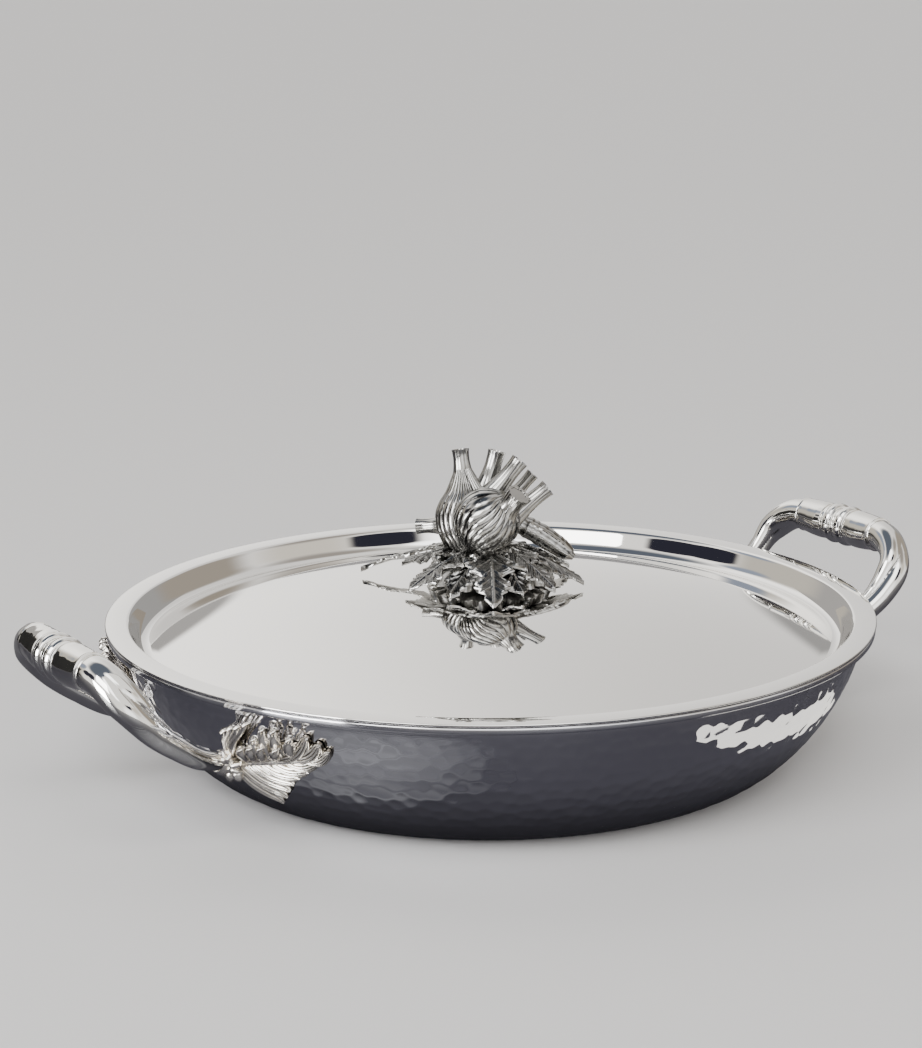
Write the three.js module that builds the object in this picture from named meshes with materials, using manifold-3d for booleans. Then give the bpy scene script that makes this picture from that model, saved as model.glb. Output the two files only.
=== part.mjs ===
// A shallow gratin pan of pressed steel with two cast loop handles on leaf escutcheons,
// and a domed lid whose finial is a bunch of fennel on a rosette of leaves.
// Millimetres, +Z up. The origin is the middle of the base's underside and +X runs to one handle.
import * as THREE from 'three';
import { mergeVertices } from 'three/addons/utils/BufferGeometryUtils.js';
import Module from 'manifold-3d';

const wasm = await Module();
wasm.setup();

// Pan body
const RIM_RADIUS = 139.7;
const RIM_THICKNESS = 2.3;
const RIM_ROUND = 0.5;
const PAN_HEIGHT = 51.8; // underside of the base to the top of the rim
const PAN_SHEET = 1.6;
const RIM_WIDTH = 4.3; // how far the rim stands out from the wall
const BASE_RADIUS = 99;
const SIDE_ROUNDNESS = 1.5; // 1 would be a straight cone, 2 a quarter of an ellipse

// Lid
const LID_SHEET = 1.0;
const LID_CLEARANCE = 1.1; // between the lid's sunken wall and the mouth of the pan
const LID_GAP = 0.3; // under the flange, where the lid rests
const FLANGE_OVERHANG = 0.3;
const GUTTER_DEPTH = 9.2; // below the top of the flange
const GUTTER_SLOPE = 4.7; // how far the sunken wall leans in
const GUTTER_ROUND = 3.2;
const COVE_SHARE = 0.45; // how far the gutter's round climbs the sunken wall
const LIP_SHARE = 0.1; // how far down the sunken wall its upper edge is eased
const DOME_RISE = 19.7; // from the gutter to the finial's seat
const SEAT_RADIUS = 13; // flat seat under the finial

// Handles
const GRIP_OFFSET = 30.2; // from the rim out to the middle of the grip
const GRIP_RISE = 10; // from the rim up to the middle of the grip
const GRIP_LENGTH = 44;
const GRIP_RADIUS = 8; // over the two beads
const LEG_SPREAD = 38.8; // half the width of the loop where it is widest
const LEG_RADIUS = 6.5; // of both strands together, where they leave the grip
const STRAND_TURN = -45; // degrees of twist down one leg
const STRAND_START = 55; // degrees
const FOOT_ANGLE = 14.1; // degrees from the handle's middle to a foot
const FOOT_HEIGHT = 24.9; // of the foot's middle on the wall
const TENON_RADIUS = 2.3;
const TENON_LENGTH = 5;
const TENON_STANDOFF = 4.2; // from the wall to the tenon's end

// Leaf escutcheons
const LEAF_LENGTH = 47;
const LEAF_LIFT = 15; // degrees that the leaf climbs along the wall
const LEAF_EDGE = 1.5;
const LEAF_CROWN = 1.9;
const LEAF_SINK = 1; // the castings' backs start inside the wall and are then cut to it
const PETAL_LENGTH = 23.5;
const PETAL_HALF_WIDTH = 7.5;
const PETAL_LIFT = 68; // degrees
const PETAL_CUP = 3.4;
const PETAL_ROOT = 5; // along the wall from the foot, clear of the leg
const BLOSSOM_PLACE = [5, 5.2]; // along and up the wall from the foot
const BLOSSOM_RADIUS = 5;
const BLOSSOM_HEIGHT = 5.2;
const CALYX_RADIUS = 4.8;
const BOSS_RADIUS = 4.3;
const BOSS_HEIGHT = 5;

// Rivets, two behind each escutcheon: places along and up the wall from the foot
const RIVET_PLACES = [[7.5, -2.7], [20, 4.5]];
const RIVET_RADIUS = 1.8;
const RIVET_REACH = 3.4; // into the casting
const RIVET_HEAD_RADIUS = 4;
const RIVET_HEAD_HEIGHT = 1.8;
const RIVET_HEAD_GAP = 0.8; // the head's flat face bridges the curved wall

// Finial
const FINIAL_TURN = -33; // degrees about the lid's axis
const FINIAL_HEIGHT = 48; // from the seat to the tallest stalk
const CROWN_HEIGHT = 14; // flat top of the rosette above its seat
const CROWN_RADIUS = 11;
const HUB_RADIUS = 12.5;
const ROSETTE_THICKNESS = 1.5;
const ROSETTE_CLEARANCE = 0.8; // under the leaves, over the dome
const LEAF_FALL = 1.2; // 1 would be a straight slope from the crown to a leaf's tip
const BULB_RIBS = 9;
const BULB_RIB_SHARE = 0.05;
const STEM_RADIUS = 4.3;
const STUD_RADIUS = 3;
const STUD_REACH = 7; // above the rosette's crown, inside the front bulb
const WASHER_RADIUS = 9;
const WASHER_THICKNESS = 1.5;
const NUT_ACROSS_CORNERS = 11.5;
const NUT_HEIGHT = 5.5;
const NUT_CAP_RADIUS = 4.9;
const NUT_CAP_HEIGHT = 4;

// Fits and facets
const CLEARANCE = 0.3;
const ROUND_STEPS = 40;
const SIDE_STEPS = 9;
const DOME_STEPS = 6;
const COVE_STEPS = 3;
const CAP_STEPS = 5;
const SECTION_STEPS = 12;
const SMALL_STEPS = 8;
const HUB_STEPS = 24;
const LEG_STEPS = 14;
const FINE_STEPS = 200; // along the side, where places on the wall are measured
const ROUTE_STEPS = 800; // along the handle, where its length is measured
const SHOULDER = 0.02; // over which a round piece steps from one size to the next

const WALL_TOP_RADIUS = RIM_RADIUS - RIM_WIDTH;
const GRIP_REACH = RIM_RADIUS + GRIP_OFFSET;
const GRIP_HEIGHT = PAN_HEIGHT + GRIP_RISE;
const LID_TOP = PAN_HEIGHT + LID_GAP + LID_SHEET;
const MOUTH_RADIUS = WALL_TOP_RADIUS - PAN_SHEET;
const LID_MOUTH_RADIUS = MOUTH_RADIUS - LID_CLEARANCE - LID_SHEET;
const GUTTER_RADIUS = LID_MOUTH_RADIUS - GUTTER_SLOPE;
const GUTTER_Z = LID_TOP - GUTTER_DEPTH;
const SEAT_Z = GUTTER_Z + DOME_RISE;
const WALL_TOP = PAN_HEIGHT - RIM_THICKNESS;
const UP = new THREE.Vector3(0, 0, 1);
const radians = THREE.MathUtils.degToRad;
const lerp = THREE.MathUtils.lerp;

// A value read from rows that start with a share, by straight lines between the rows.
function graded(rows, share, column) {
  const next = Math.max(1, rows.findIndex((row) => row[0] >= share));
  const [a, b] = [rows[next - 1], rows[next]];
  return lerp(a[column], b[column], (share - a[0]) / (b[0] - a[0]));
}

// Closed meshes and solids

// Shares vertices, drops triangles without area and turns the faces outwards.
function closed(geometry) {
  geometry.deleteAttribute('normal');
  geometry.deleteAttribute('uv');
  const merged = mergeVertices(geometry, 1e-4);
  const place = merged.getAttribute('position');
  const index = [];
  let volume = 0;
  const [a, b, c] = [new THREE.Vector3(), new THREE.Vector3(), new THREE.Vector3()];
  for (let i = 0; i < merged.index.count; i += 3) {
    const corners = [0, 1, 2].map((k) => merged.index.getX(i + k));
    if (new Set(corners).size < 3) continue;
    index.push(corners);
    a.fromBufferAttribute(place, corners[0]);
    b.fromBufferAttribute(place, corners[1]);
    c.fromBufferAttribute(place, corners[2]);
    volume += a.dot(b.cross(c));
  }
  const faces = volume < 0 ? index.map(([p, q, r]) => [p, r, q]) : index;
  merged.setIndex(faces.flat());
  merged.computeVertexNormals();
  return merged;
}

function solid(geometry) {
  const body = closed(geometry);
  return new wasm.Manifold(new wasm.Mesh({
    numProp: 3,
    vertProperties: new Float32Array(body.getAttribute('position').array),
    triVerts: new Uint32Array(body.index.array),
  }));
}

function shape(manifold) {
  const mesh = manifold.getMesh();
  const geometry = new THREE.BufferGeometry();
  const corners = [];
  for (let i = 0; i < mesh.vertProperties.length; i += mesh.numProp) {
    corners.push(...mesh.vertProperties.slice(i, i + 3));
  }
  geometry.setAttribute('position', new THREE.Float32BufferAttribute(corners, 3));
  geometry.setIndex(Array.from(mesh.triVerts));
  geometry.computeVertexNormals();
  return geometry;
}

function fromFaces(points, faces) {
  const geometry = new THREE.BufferGeometry();
  geometry.setAttribute('position', new THREE.Float32BufferAttribute(points.flatMap((p) => p.toArray()), 3));
  geometry.setIndex(faces.flat());
  return closed(geometry);
}

// Turns a profile of [radius, height] points round the Z axis.
function lathe(profile, steps = ROUND_STEPS) {
  const outline = profile.map(([r, z]) => new THREE.Vector2(r, z));
  return closed(new THREE.LatheGeometry(outline, steps).rotateX(Math.PI / 2));
}

// Moves a lathe made along +Z so that it starts at a point and runs in a direction.
function aimed(geometry, start, direction) {
  const turn = new THREE.Quaternion().setFromUnitVectors(UP, direction.clone().normalize());
  return geometry.clone().applyQuaternion(turn).translate(start.x, start.y, start.z);
}

// Joins rings of points into a skin and closes both ends with fans.
function loft(rings) {
  const count = rings[0].length;
  const points = rings.flat();
  const faces = [];
  for (let i = 0; i + 1 < rings.length; i += 1) {
    for (let j = 0; j < count; j += 1) {
      const [a, b] = [i * count + j, i * count + ((j + 1) % count)];
      faces.push([a, b, b + count], [a, b + count, a + count]);
    }
  }
  for (const [ring, first] of [[rings[0], 0], [rings.at(-1), (rings.length - 1) * count]]) {
    const middle = ring.reduce((sum, p) => sum.add(p), new THREE.Vector3()).divideScalar(count);
    points.push(middle);
    for (let j = 0; j < count; j += 1) {
      const edge = [first + j, first + ((j + 1) % count)];
      faces.push(first === 0 ? [edge[1], edge[0], points.length - 1] : [...edge, points.length - 1]);
    }
  }
  return fromFaces(points, faces);
}

// A sheet with an under and an upper skin: place(u, v, side) with u 0..1, v -1..1, side 0 or 1.
function slab(uSteps, vSteps, place) {
  const points = [];
  const faces = [];
  const at = (i, j, side) => (i * (vSteps + 1) + j) * 2 + side;
  for (let i = 0; i <= uSteps; i += 1) {
    for (let j = 0; j <= vSteps; j += 1) {
      const v = (2 * j) / vSteps - 1;
      points.push(place(i / uSteps, v, 0), place(i / uSteps, v, 1));
    }
  }
  const quad = (a, b, c, d) => faces.push([a, b, c], [a, c, d]);
  for (let i = 0; i < uSteps; i += 1) {
    for (let j = 0; j < vSteps; j += 1) {
      quad(at(i, j, 1), at(i + 1, j, 1), at(i + 1, j + 1, 1), at(i, j + 1, 1));
      quad(at(i, j, 0), at(i, j + 1, 0), at(i + 1, j + 1, 0), at(i + 1, j, 0));
    }
    quad(at(i, 0, 0), at(i + 1, 0, 0), at(i + 1, 0, 1), at(i, 0, 1));
    quad(at(i, vSteps, 0), at(i, vSteps, 1), at(i + 1, vSteps, 1), at(i + 1, vSteps, 0));
  }
  for (let j = 0; j < vSteps; j += 1) {
    quad(at(0, j, 0), at(0, j, 1), at(0, j + 1, 1), at(0, j + 1, 0));
    quad(at(uSteps, j, 0), at(uSteps, j + 1, 0), at(uSteps, j + 1, 1), at(uSteps, j, 1));
  }
  return fromFaces(points, faces);
}

// The same profile moved sideways by a distance, to its left as it runs.
function beside(profile, distance) {
  return profile.map(([r, z], i) => {
    const [before, after] = [profile[Math.max(i - 1, 0)], profile[Math.min(i + 1, profile.length - 1)]];
    const along = new THREE.Vector2(after[0] - before[0], after[1] - before[1]).normalize();
    return [r - along.y * distance, z + along.x * distance];
  });
}

// The pan's side, from the edge of the base up to the rim
function sideProfile(steps) {
  const power = 2 / SIDE_ROUNDNESS;
  return Array.from({ length: steps + 1 }, (_, i) => {
    const angle = (Math.PI / 2) * (1 - i / steps);
    const radius = lerp(BASE_RADIUS, WALL_TOP_RADIUS, Math.cos(angle) ** power);
    return [radius, WALL_TOP * (1 - Math.sin(angle) ** power)];
  });
}

const fineSide = sideProfile(FINE_STEPS);
const sideLength = [0];
for (let i = 1; i < fineSide.length; i += 1) {
  const [a, b] = [fineSide[i - 1], fineSide[i]];
  sideLength.push(sideLength[i - 1] + Math.hypot(b[0] - a[0], b[1] - a[1]));
}
const footStep = fineSide.findIndex(([, z]) => z >= FOOT_HEIGHT);

// A point near the wall: degrees round from the handle's middle are given by the length along it.
function onWall(along, up, out) {
  const length = THREE.MathUtils.clamp(sideLength[footStep] + up, 0, sideLength.at(-1));
  const next = Math.max(1, sideLength.findIndex((l) => l >= length));
  const share = (length - sideLength[next - 1]) / (sideLength[next] - sideLength[next - 1]);
  const [a, b] = [fineSide[next - 1], fineSide[next]];
  const rise = new THREE.Vector2(b[0] - a[0], b[1] - a[1]).normalize();
  const radius = lerp(a[0], b[0], share) + rise.y * out;
  const azimuth = radians(FOOT_ANGLE) + along / fineSide[footStep][0];
  const z = lerp(a[1], b[1], share) - rise.x * out;
  return new THREE.Vector3(radius * Math.cos(azimuth), radius * Math.sin(azimuth), z);
}

function wallNormal(along, up) {
  return onWall(along, up, 1).sub(onWall(along, up, 0)).normalize();
}

// Pan body
function panBody() {
  const side = sideProfile(SIDE_STEPS);
  const inside = beside(side, PAN_SHEET).reverse();
  inside[0] = [MOUTH_RADIUS, WALL_TOP];
  inside[inside.length - 1] = [inside.at(-1)[0], PAN_SHEET];
  const rim = [
    [RIM_RADIUS - RIM_ROUND, WALL_TOP],
    [RIM_RADIUS, WALL_TOP + RIM_ROUND],
    [RIM_RADIUS, PAN_HEIGHT - RIM_ROUND],
    [RIM_RADIUS - RIM_ROUND, PAN_HEIGHT],
    [MOUTH_RADIUS + RIM_ROUND, PAN_HEIGHT],
    [MOUTH_RADIUS, PAN_HEIGHT - RIM_ROUND],
  ];
  let body = solid(lathe([[0, 0], ...side, ...rim, ...inside, [0, PAN_SHEET]]));
  for (const drill of everyRivet((along, up) => shank(along, up, RIVET_RADIUS + CLEARANCE))) {
    body = body.subtract(drill);
  }
  return shape(body);
}

// Rivets

// A straight pin across the wall, from inside the head's place to the end of its reach.
function shank(along, up, radius, extra = 0) {
  const inner = -PAN_SHEET - RIVET_HEAD_GAP;
  const length = RIVET_REACH + extra - inner;
  const pin = lathe([[0, 0], [radius, 0], [radius, length], [0, length]], SMALL_STEPS);
  return aimed(pin, onWall(along, up, inner), wallNormal(along, up));
}

const RIVET_HEAD_TURN = Math.PI / 4; // the one facet's edge between the head's rim and its top

function rivet(along, up) {
  const inner = -PAN_SHEET - RIVET_HEAD_GAP;
  const profile = [
    [0, -RIVET_HEAD_HEIGHT],
    [RIVET_HEAD_RADIUS * Math.sin(RIVET_HEAD_TURN), -RIVET_HEAD_HEIGHT * Math.cos(RIVET_HEAD_TURN)],
    [RIVET_HEAD_RADIUS, 0],
    [RIVET_RADIUS, 0],
    [RIVET_RADIUS, RIVET_REACH - inner],
    [0, RIVET_REACH - inner],
  ];
  return aimed(lathe(profile, SMALL_STEPS), onWall(along, up, inner), wallNormal(along, up));
}

// Copies a piece made at one foot to a foot of either handle.
function atFoot(body, handle, mirrored) {
  const copy = mirrored ? body.mirror([0, 1, 0]) : body;
  return copy.rotate([0, 0, handle * 180]);
}

function everyRivet(make) {
  const feet = [[0, false], [0, true], [1, false], [1, true]];
  return feet.flatMap(([handle, mirrored]) => (
    RIVET_PLACES.map(([along, up]) => atFoot(solid(make(along, up)), handle, mirrored))
  ));
}

// Handles

// One half of the handle's middle line, from the tenon's end in the leaf to the middle of the grip.
const foot = onWall(0, 0, 0);
const between = (x, y, z) => new THREE.Vector3(
  lerp(foot.x, GRIP_REACH, x), y, lerp(foot.z, GRIP_HEIGHT, z),
);
// Shares of the reach, of the loop's spread and of the rise, from the foot up to the turn into the grip
const LEG_ROUTE = [[0.36, 0.94, 0.185], [0.68, 1, 0.5], [0.865, 0.95, 0.79]];
const TURN_REACH = 0.957;
const TURN_RISE = 0.985;
const TURN_LENGTH = 0.7; // grip radii past the grip's end
const GRIP_BOW = 0.99; // share of the reach at the grip's quarters
const [lowerLeg, ...upperLeg] = LEG_ROUTE.map(([out, spread, rise]) => between(out, spread * LEG_SPREAD, rise));
const legDirection = lowerLeg.clone().sub(foot).normalize();
const tenonEnd = foot.clone().addScaledVector(legDirection, TENON_STANDOFF);
const legMouth = foot.clone().addScaledVector(legDirection, TENON_STANDOFF + TENON_LENGTH);
const halfRoute = [
  tenonEnd,
  legMouth,
  lowerLeg,
  ...upperLeg,
  between(TURN_REACH, GRIP_LENGTH / 2 + TURN_LENGTH * GRIP_RADIUS, TURN_RISE),
  between(GRIP_BOW, GRIP_LENGTH / 4, 1),
];
const mirrorY = (p) => new THREE.Vector3(p.x, -p.y, p.z);
const handleRoute = new THREE.CatmullRomCurve3(
  [...halfRoute, between(1, 0, 1), ...halfRoute.map(mirrorY).reverse()],
  false,
  'centripetal',
);
handleRoute.arcLengthDivisions = ROUTE_STEPS;
const HALF_LENGTH = handleRoute.getLength() / 2;
const LEG_END = HALF_LENGTH - TENON_LENGTH;

// Half of the grip's outline, as shares of its half length and of its radius: a bead and a tapered sleeve
const GRIP_OUTLINE = [
  [0, 0.84], [0.035, 0.93], [0.08, 0.93], [0.16, 1], [0.25, 0.95],
  [0.32, 0.83], [0.35, 0.91], [0.7, 0.895], [1, 0.8],
];
// Strands: share of the leg, then in shares of the leg's radius the distance from its middle and the radius
const MAIN_STRAND = [
  [0, 0.2, 0.76], [0.12, 0.36, 0.68], [0.35, 0.24, 0.66], [0.7, 0, 0.62], [1, 0, 0.52],
];
const SECOND_STRAND = [
  [0, 0.26, 0.7], [0.12, 0.42, 0.6], [0.35, 0.47, 0.48], [0.52, 0.52, 0.35],
  [0.645, 0.54, 0.14], [0.66, 0.3, 0.05], [1, 0.2, 0.05],
];
const LEG_FOOT_RADIUS = LEG_RADIUS * MAIN_STRAND.at(-1)[2];

// How far a strand's edge lies from the leg's middle at an angle, or nought where the strand isn't.
function strandReach(rows, share, angle) {
  const [offset, radius] = [graded(rows, share, 1), graded(rows, share, 2)];
  const across = radius ** 2 - (offset * Math.sin(angle)) ** 2;
  const seen = across > 0 && (Math.cos(angle) > 0 || radius > offset);
  return seen ? LEG_RADIUS * (offset * Math.cos(angle) + Math.sqrt(across)) : 0;
}

// The section's radius at an angle, at a distance from the grip's middle
function handleRadius(s, angle) {
  const grip = GRIP_LENGTH / 2;
  if (s <= grip) return GRIP_RADIUS * graded(GRIP_OUTLINE, s / grip, 1);
  if (s > LEG_END) return TENON_RADIUS;
  const share = (s - grip) / (LEG_END - grip);
  const twist = angle - radians(STRAND_START + STRAND_TURN * share);
  return Math.max(strandReach(MAIN_STRAND, share, twist + Math.PI), strandReach(SECOND_STRAND, share, twist));
}

function handle() {
  const grip = GRIP_LENGTH / 2;
  const half = GRIP_OUTLINE.map(([share]) => share * grip);
  half.push(grip + SHOULDER);
  for (let i = 1; i < LEG_STEPS; i += 1) half.push(lerp(grip, LEG_END, i / LEG_STEPS));
  half.push(LEG_END - SHOULDER, LEG_END + SHOULDER, HALF_LENGTH);
  const stations = [...half.slice(1).map((s) => -s).reverse(), ...half];
  const rings = stations.map((s) => {
    const share = THREE.MathUtils.clamp(0.5 + s / (2 * HALF_LENGTH), 0, 1);
    const middle = handleRoute.getPointAt(share);
    const along = handleRoute.getTangentAt(share);
    const first = UP.clone().addScaledVector(along, -UP.dot(along)).normalize();
    const second = along.clone().cross(first);
    return Array.from({ length: SECTION_STEPS }, (_, j) => {
      const angle = (2 * Math.PI * j) / SECTION_STEPS;
      const radius = handleRadius(Math.abs(s), angle);
      return middle.clone()
        .addScaledVector(first, radius * Math.cos(angle))
        .addScaledVector(second, radius * Math.sin(angle));
    });
  });
  return loft(rings);
}

// Leaf escutcheons

// The blade, in hundredths of its length along and across it: lower edge, midrib and upper edge, row by row.
// The rows sweep towards the tip, so their ends make the teeth below and the lobes above.
const BLADE_ROWS = [
  [[0, -6], [0, 0], [0, 6]],
  [[17, -25], [8, 5], [13, 15]],
  [[30, -35], [17, 5], [26, 19]],
  [[36, -24], [24, 5], [40, 26]],
  [[48, -22], [32, 5], [44, 18]],
  [[50, -14], [40, 5], [52, 31]],
  [[66, -10], [47, 5], [58, 20]],
  [[67, -5], [55, 5], [65, 34]],
  [[76, -5], [64, 5], [70, 21]],
  [[79, -1], [72, 5], [78, 27]],
  [[87, 2], [81, 6], [83, 17]],
  [[92, 4], [90, 7], [93, 16]],
  [[100, 8], [100, 9], [100, 10]],
];

// A place on the wall from one that is along and across a leaf that climbs at an angle
function leafPlace(along, across, lift) {
  const place = new THREE.Vector2(along, across).rotateAround(new THREE.Vector2(), radians(lift));
  return place.toArray();
}

function blade() {
  const rows = BLADE_ROWS.length - 1;
  return slab(rows, 2, (u, v, side) => {
    const [p, q] = BLADE_ROWS[Math.round(u * rows)][v + 1].map((share) => (share * LEAF_LENGTH) / 100);
    const over = LEAF_EDGE + LEAF_CROWN * (1 - v * v) * (1 - u * u);
    return onWall(...leafPlace(p, q, LEAF_LIFT), side === 1 ? over : -LEAF_SINK);
  });
}

// Half of a rounded petal's outline: share of the length, share of the half width
const PETAL_OUTLINE = [[0, 0.25], [0.2, 0.85], [0.4, 1], [0.6, 0.92], [0.8, 0.65], [1, 0.25]];
const PETAL_KEEL = 0.4; // share of the cup that the petal's middle line has

// The petal lies on the wall at its root and stands off it towards its tip, more at its edges.
function petal() {
  return slab(PETAL_OUTLINE.length - 1, 2, (u, v, side) => {
    const across = v * PETAL_HALF_WIDTH * graded(PETAL_OUTLINE, u, 1);
    const [along, up] = leafPlace(u * PETAL_LENGTH, across, PETAL_LIFT);
    const under = PETAL_CUP * u * u * lerp(PETAL_KEEL, 1, v * v) - LEAF_SINK;
    const over = under + LEAF_SINK + LEAF_EDGE;
    return onWall(PETAL_ROOT + along, up, side === 1 ? over : under);
  });
}

// Outlines as shares of the radius and of the height: a boss with a chamfered top, and the cup that holds a leg
const BOSS_OUTLINE = [[1, 0], [1, 0.6], [0.6, 1], [0, 1]];
const CUP_OUTLINE = [[1, 0.35], [0.86, 0.6]];

function boss(radius, height) {
  const outline = BOSS_OUTLINE.map(([width, rise]) => [radius * width, height * rise]);
  return lathe([[0, 0], ...outline], SMALL_STEPS);
}

function escutcheon() {
  const mouth = TENON_STANDOFF + TENON_LENGTH;
  const sink = CALYX_RADIUS;
  const cup = lathe([
    [0, -sink],
    [CALYX_RADIUS, -sink],
    ...CUP_OUTLINE.map(([width, rise]) => [CALYX_RADIUS * width, mouth * rise]),
    [LEG_FOOT_RADIUS, mouth - CLEARANCE],
    [0, mouth - CLEARANCE],
  ], SMALL_STEPS);
  const socketRadius = TENON_RADIUS + CLEARANCE;
  const socketStart = TENON_STANDOFF - CLEARANCE;
  const socket = lathe([
    [0, socketStart], [socketRadius, socketStart], [socketRadius, mouth], [0, mouth],
  ], SMALL_STEPS);
  const standing = (geometry, place) => (
    solid(aimed(geometry, onWall(...place, -LEAF_SINK), wallNormal(...place)))
  );
  let casting = solid(blade()).add(solid(petal())).add(solid(aimed(cup, foot, legDirection)));
  casting = casting.add(standing(boss(BLOSSOM_RADIUS, BLOSSOM_HEIGHT), BLOSSOM_PLACE));
  for (const place of RIVET_PLACES) casting = casting.add(standing(boss(BOSS_RADIUS, BOSS_HEIGHT), place));
  casting = casting.subtract(solid(aimed(socket, foot, legDirection)));
  for (const [along, up] of RIVET_PLACES) {
    casting = casting.subtract(solid(shank(along, up, RIVET_RADIUS + CLEARANCE, CLEARANCE)));
  }
  const skin = beside(sideProfile(SIDE_STEPS), -CLEARANCE);
  const wall = lathe([[0, skin[0][1]], ...skin, [0, skin.at(-1)[1]]]);
  return casting.subtract(solid(wall));
}

// Lid
const domeHeight = (r) => (
  GUTTER_Z + DOME_RISE * (1 - Math.max(r ** 2 - SEAT_RADIUS ** 2, 0) / (GUTTER_RADIUS ** 2 - SEAT_RADIUS ** 2))
);

function lidShell() {
  const wallFoot = new THREE.Vector2(GUTTER_RADIUS, GUTTER_Z);
  const wallHead = new THREE.Vector2(LID_MOUTH_RADIUS, LID_TOP);
  const fieldEnd = GUTTER_RADIUS - GUTTER_ROUND;
  const cove = new THREE.QuadraticBezierCurve(
    new THREE.Vector2(fieldEnd, domeHeight(fieldEnd)),
    wallFoot,
    wallFoot.clone().lerp(wallHead, COVE_SHARE),
  );
  const top = [[STUD_RADIUS + CLEARANCE, SEAT_Z], [SEAT_RADIUS, SEAT_Z]];
  for (let i = 1; i < DOME_STEPS; i += 1) {
    const r = lerp(SEAT_RADIUS, fieldEnd, i / DOME_STEPS);
    top.push([r, domeHeight(r)]);
  }
  for (const p of cove.getPoints(COVE_STEPS)) top.push([p.x, p.y]);
  const lip = wallHead.clone().lerp(wallFoot, LIP_SHARE);
  top.push([lip.x, lip.y], [LID_MOUTH_RADIUS + LID_SHEET / 2, LID_TOP]);
  const under = beside(top, -LID_SHEET).reverse();
  under[0] = [MOUTH_RADIUS - LID_CLEARANCE + LID_SHEET / 2, LID_TOP - LID_SHEET];
  const flange = [
    [RIM_RADIUS + FLANGE_OVERHANG, LID_TOP],
    [RIM_RADIUS + FLANGE_OVERHANG, LID_TOP - LID_SHEET],
  ];
  return lathe([...top, ...flange, ...under, top[0]]);
}

// Finial: heights are above the seat, and angles run from the photographed right, turned with the group.
// Places and sizes in these lists are hundredths of the finial's height.
const HUNDREDTH = FINIAL_HEIGHT / 100;

// Leaves of the rosette: [angle in degrees, reach, half width, height of the tip over the dome]
const ROSETTE_LEAVES = [
  [-88, 75, 21, 0], [-146, 73, 20, 2], [-177, 67, 20, 13], [158, 108, 7, 2.5], [-44, 67, 20, 3],
  [-14, 73, 19, 1], [30, 71, 19, 1], [75, 73, 20, 1], [120, 69, 20, 1],
];
// Half of a lobed leaf's outline: share of the length, share of the half width
const LOBED_EDGE = [[0, 0.45], [0.2, 0.75], [0.42, 1], [0.58, 0.5], [0.76, 0.72], [0.88, 0.42], [1, 0.04]];

function rosetteLeaf([angle, ...sizes]) {
  const [reach, halfWidth, tip] = sizes.map((size) => size * HUNDREDTH);
  const root = CROWN_RADIUS / 2;
  const drop = CROWN_HEIGHT - ROSETTE_THICKNESS - ROSETTE_CLEARANCE - tip;
  const rows = LOBED_EDGE.length - 1;
  return slab(rows, 2, (step, v, side) => {
    const [u, width] = LOBED_EDGE[Math.round(step * rows)];
    const outward = lerp(root, reach, u);
    const sideways = v * width * halfWidth;
    const radius = Math.hypot(outward, sideways);
    const over = ROSETTE_CLEARANCE + tip + drop * (1 - u) ** LEAF_FALL + side * ROSETTE_THICKNESS;
    const z = domeHeight(radius) - SEAT_Z + over;
    return new THREE.Vector3(outward, sideways, z).applyAxisAngle(UP, radians(angle));
  });
}

function rosette() {
  const hub = lathe([
    [0, CLEARANCE], [HUB_RADIUS, CLEARANCE], [HUB_RADIUS, CROWN_HEIGHT / 2],
    [CROWN_RADIUS, CROWN_HEIGHT], [0, CROWN_HEIGHT],
  ], HUB_STEPS);
  const bore = STUD_RADIUS + CLEARANCE;
  const above = CROWN_HEIGHT + CLEARANCE;
  const hole = lathe([[0, 0], [bore, 0], [bore, above], [0, above]], SMALL_STEPS);
  let body = solid(hub);
  for (const leaf of ROSETTE_LEAVES) body = body.add(solid(rosetteLeaf(leaf)));
  return body.subtract(solid(hole));
}

// A ribbed bulb along its own axis, with cut stalks; grow fattens it for the cut in a neighbour.
function bulb({ root, crown, radius, outline, stalks }, grow = 0) {
  const axis = crown.clone().sub(root);
  const sides = 2 * BULB_RIBS;
  const rings = outline.map(([share, swell]) => Array.from({ length: sides }, (_, j) => {
    const angle = (2 * Math.PI * j) / sides;
    const rib = 1 + BULB_RIB_SHARE * (j % 2 === 0 ? 1 : -1) * Math.sin(Math.PI * share);
    const r = radius * swell * rib + grow;
    return new THREE.Vector3(r * Math.cos(angle), r * Math.sin(angle), share * axis.length());
  }));
  let body = solid(aimed(loft(rings), root, axis));
  for (const [start, tip, size] of stalks) {
    const length = tip.distanceTo(start) + grow;
    const profile = STALK_OUTLINE.map(([share, width]) => [size * width + grow, length * share]);
    const stalk = lathe([[0, 0], ...profile, [0, length]], SMALL_STEPS);
    body = body.add(solid(aimed(stalk, start, tip.clone().sub(start))));
  }
  return body;
}

// Outlines, as shares of the length and of the radius: a round bulb, one drawn up to its stalk, a stalk, the stem
const ROUND_BULB = [[0, 0.2], [0.1, 0.6], [0.26, 0.88], [0.5, 1], [0.74, 0.88], [0.9, 0.6], [1, 0.2]];
const DRAWN_BULB = [[0, 0.6], [0.1, 0.85], [0.3, 1], [0.48, 0.96], [0.62, 0.82], [0.76, 0.57], [1, 0.26]];
const STALK_OUTLINE = [[0, 1.7], [0.45, 1.1], [0.7, 0.92], [1, 1]];
const STEM_OUTLINE = [[0, 0.9], [0.4, 1], [0.8, 0.95], [0.95, 0.7], [1, 0.35]];

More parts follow.
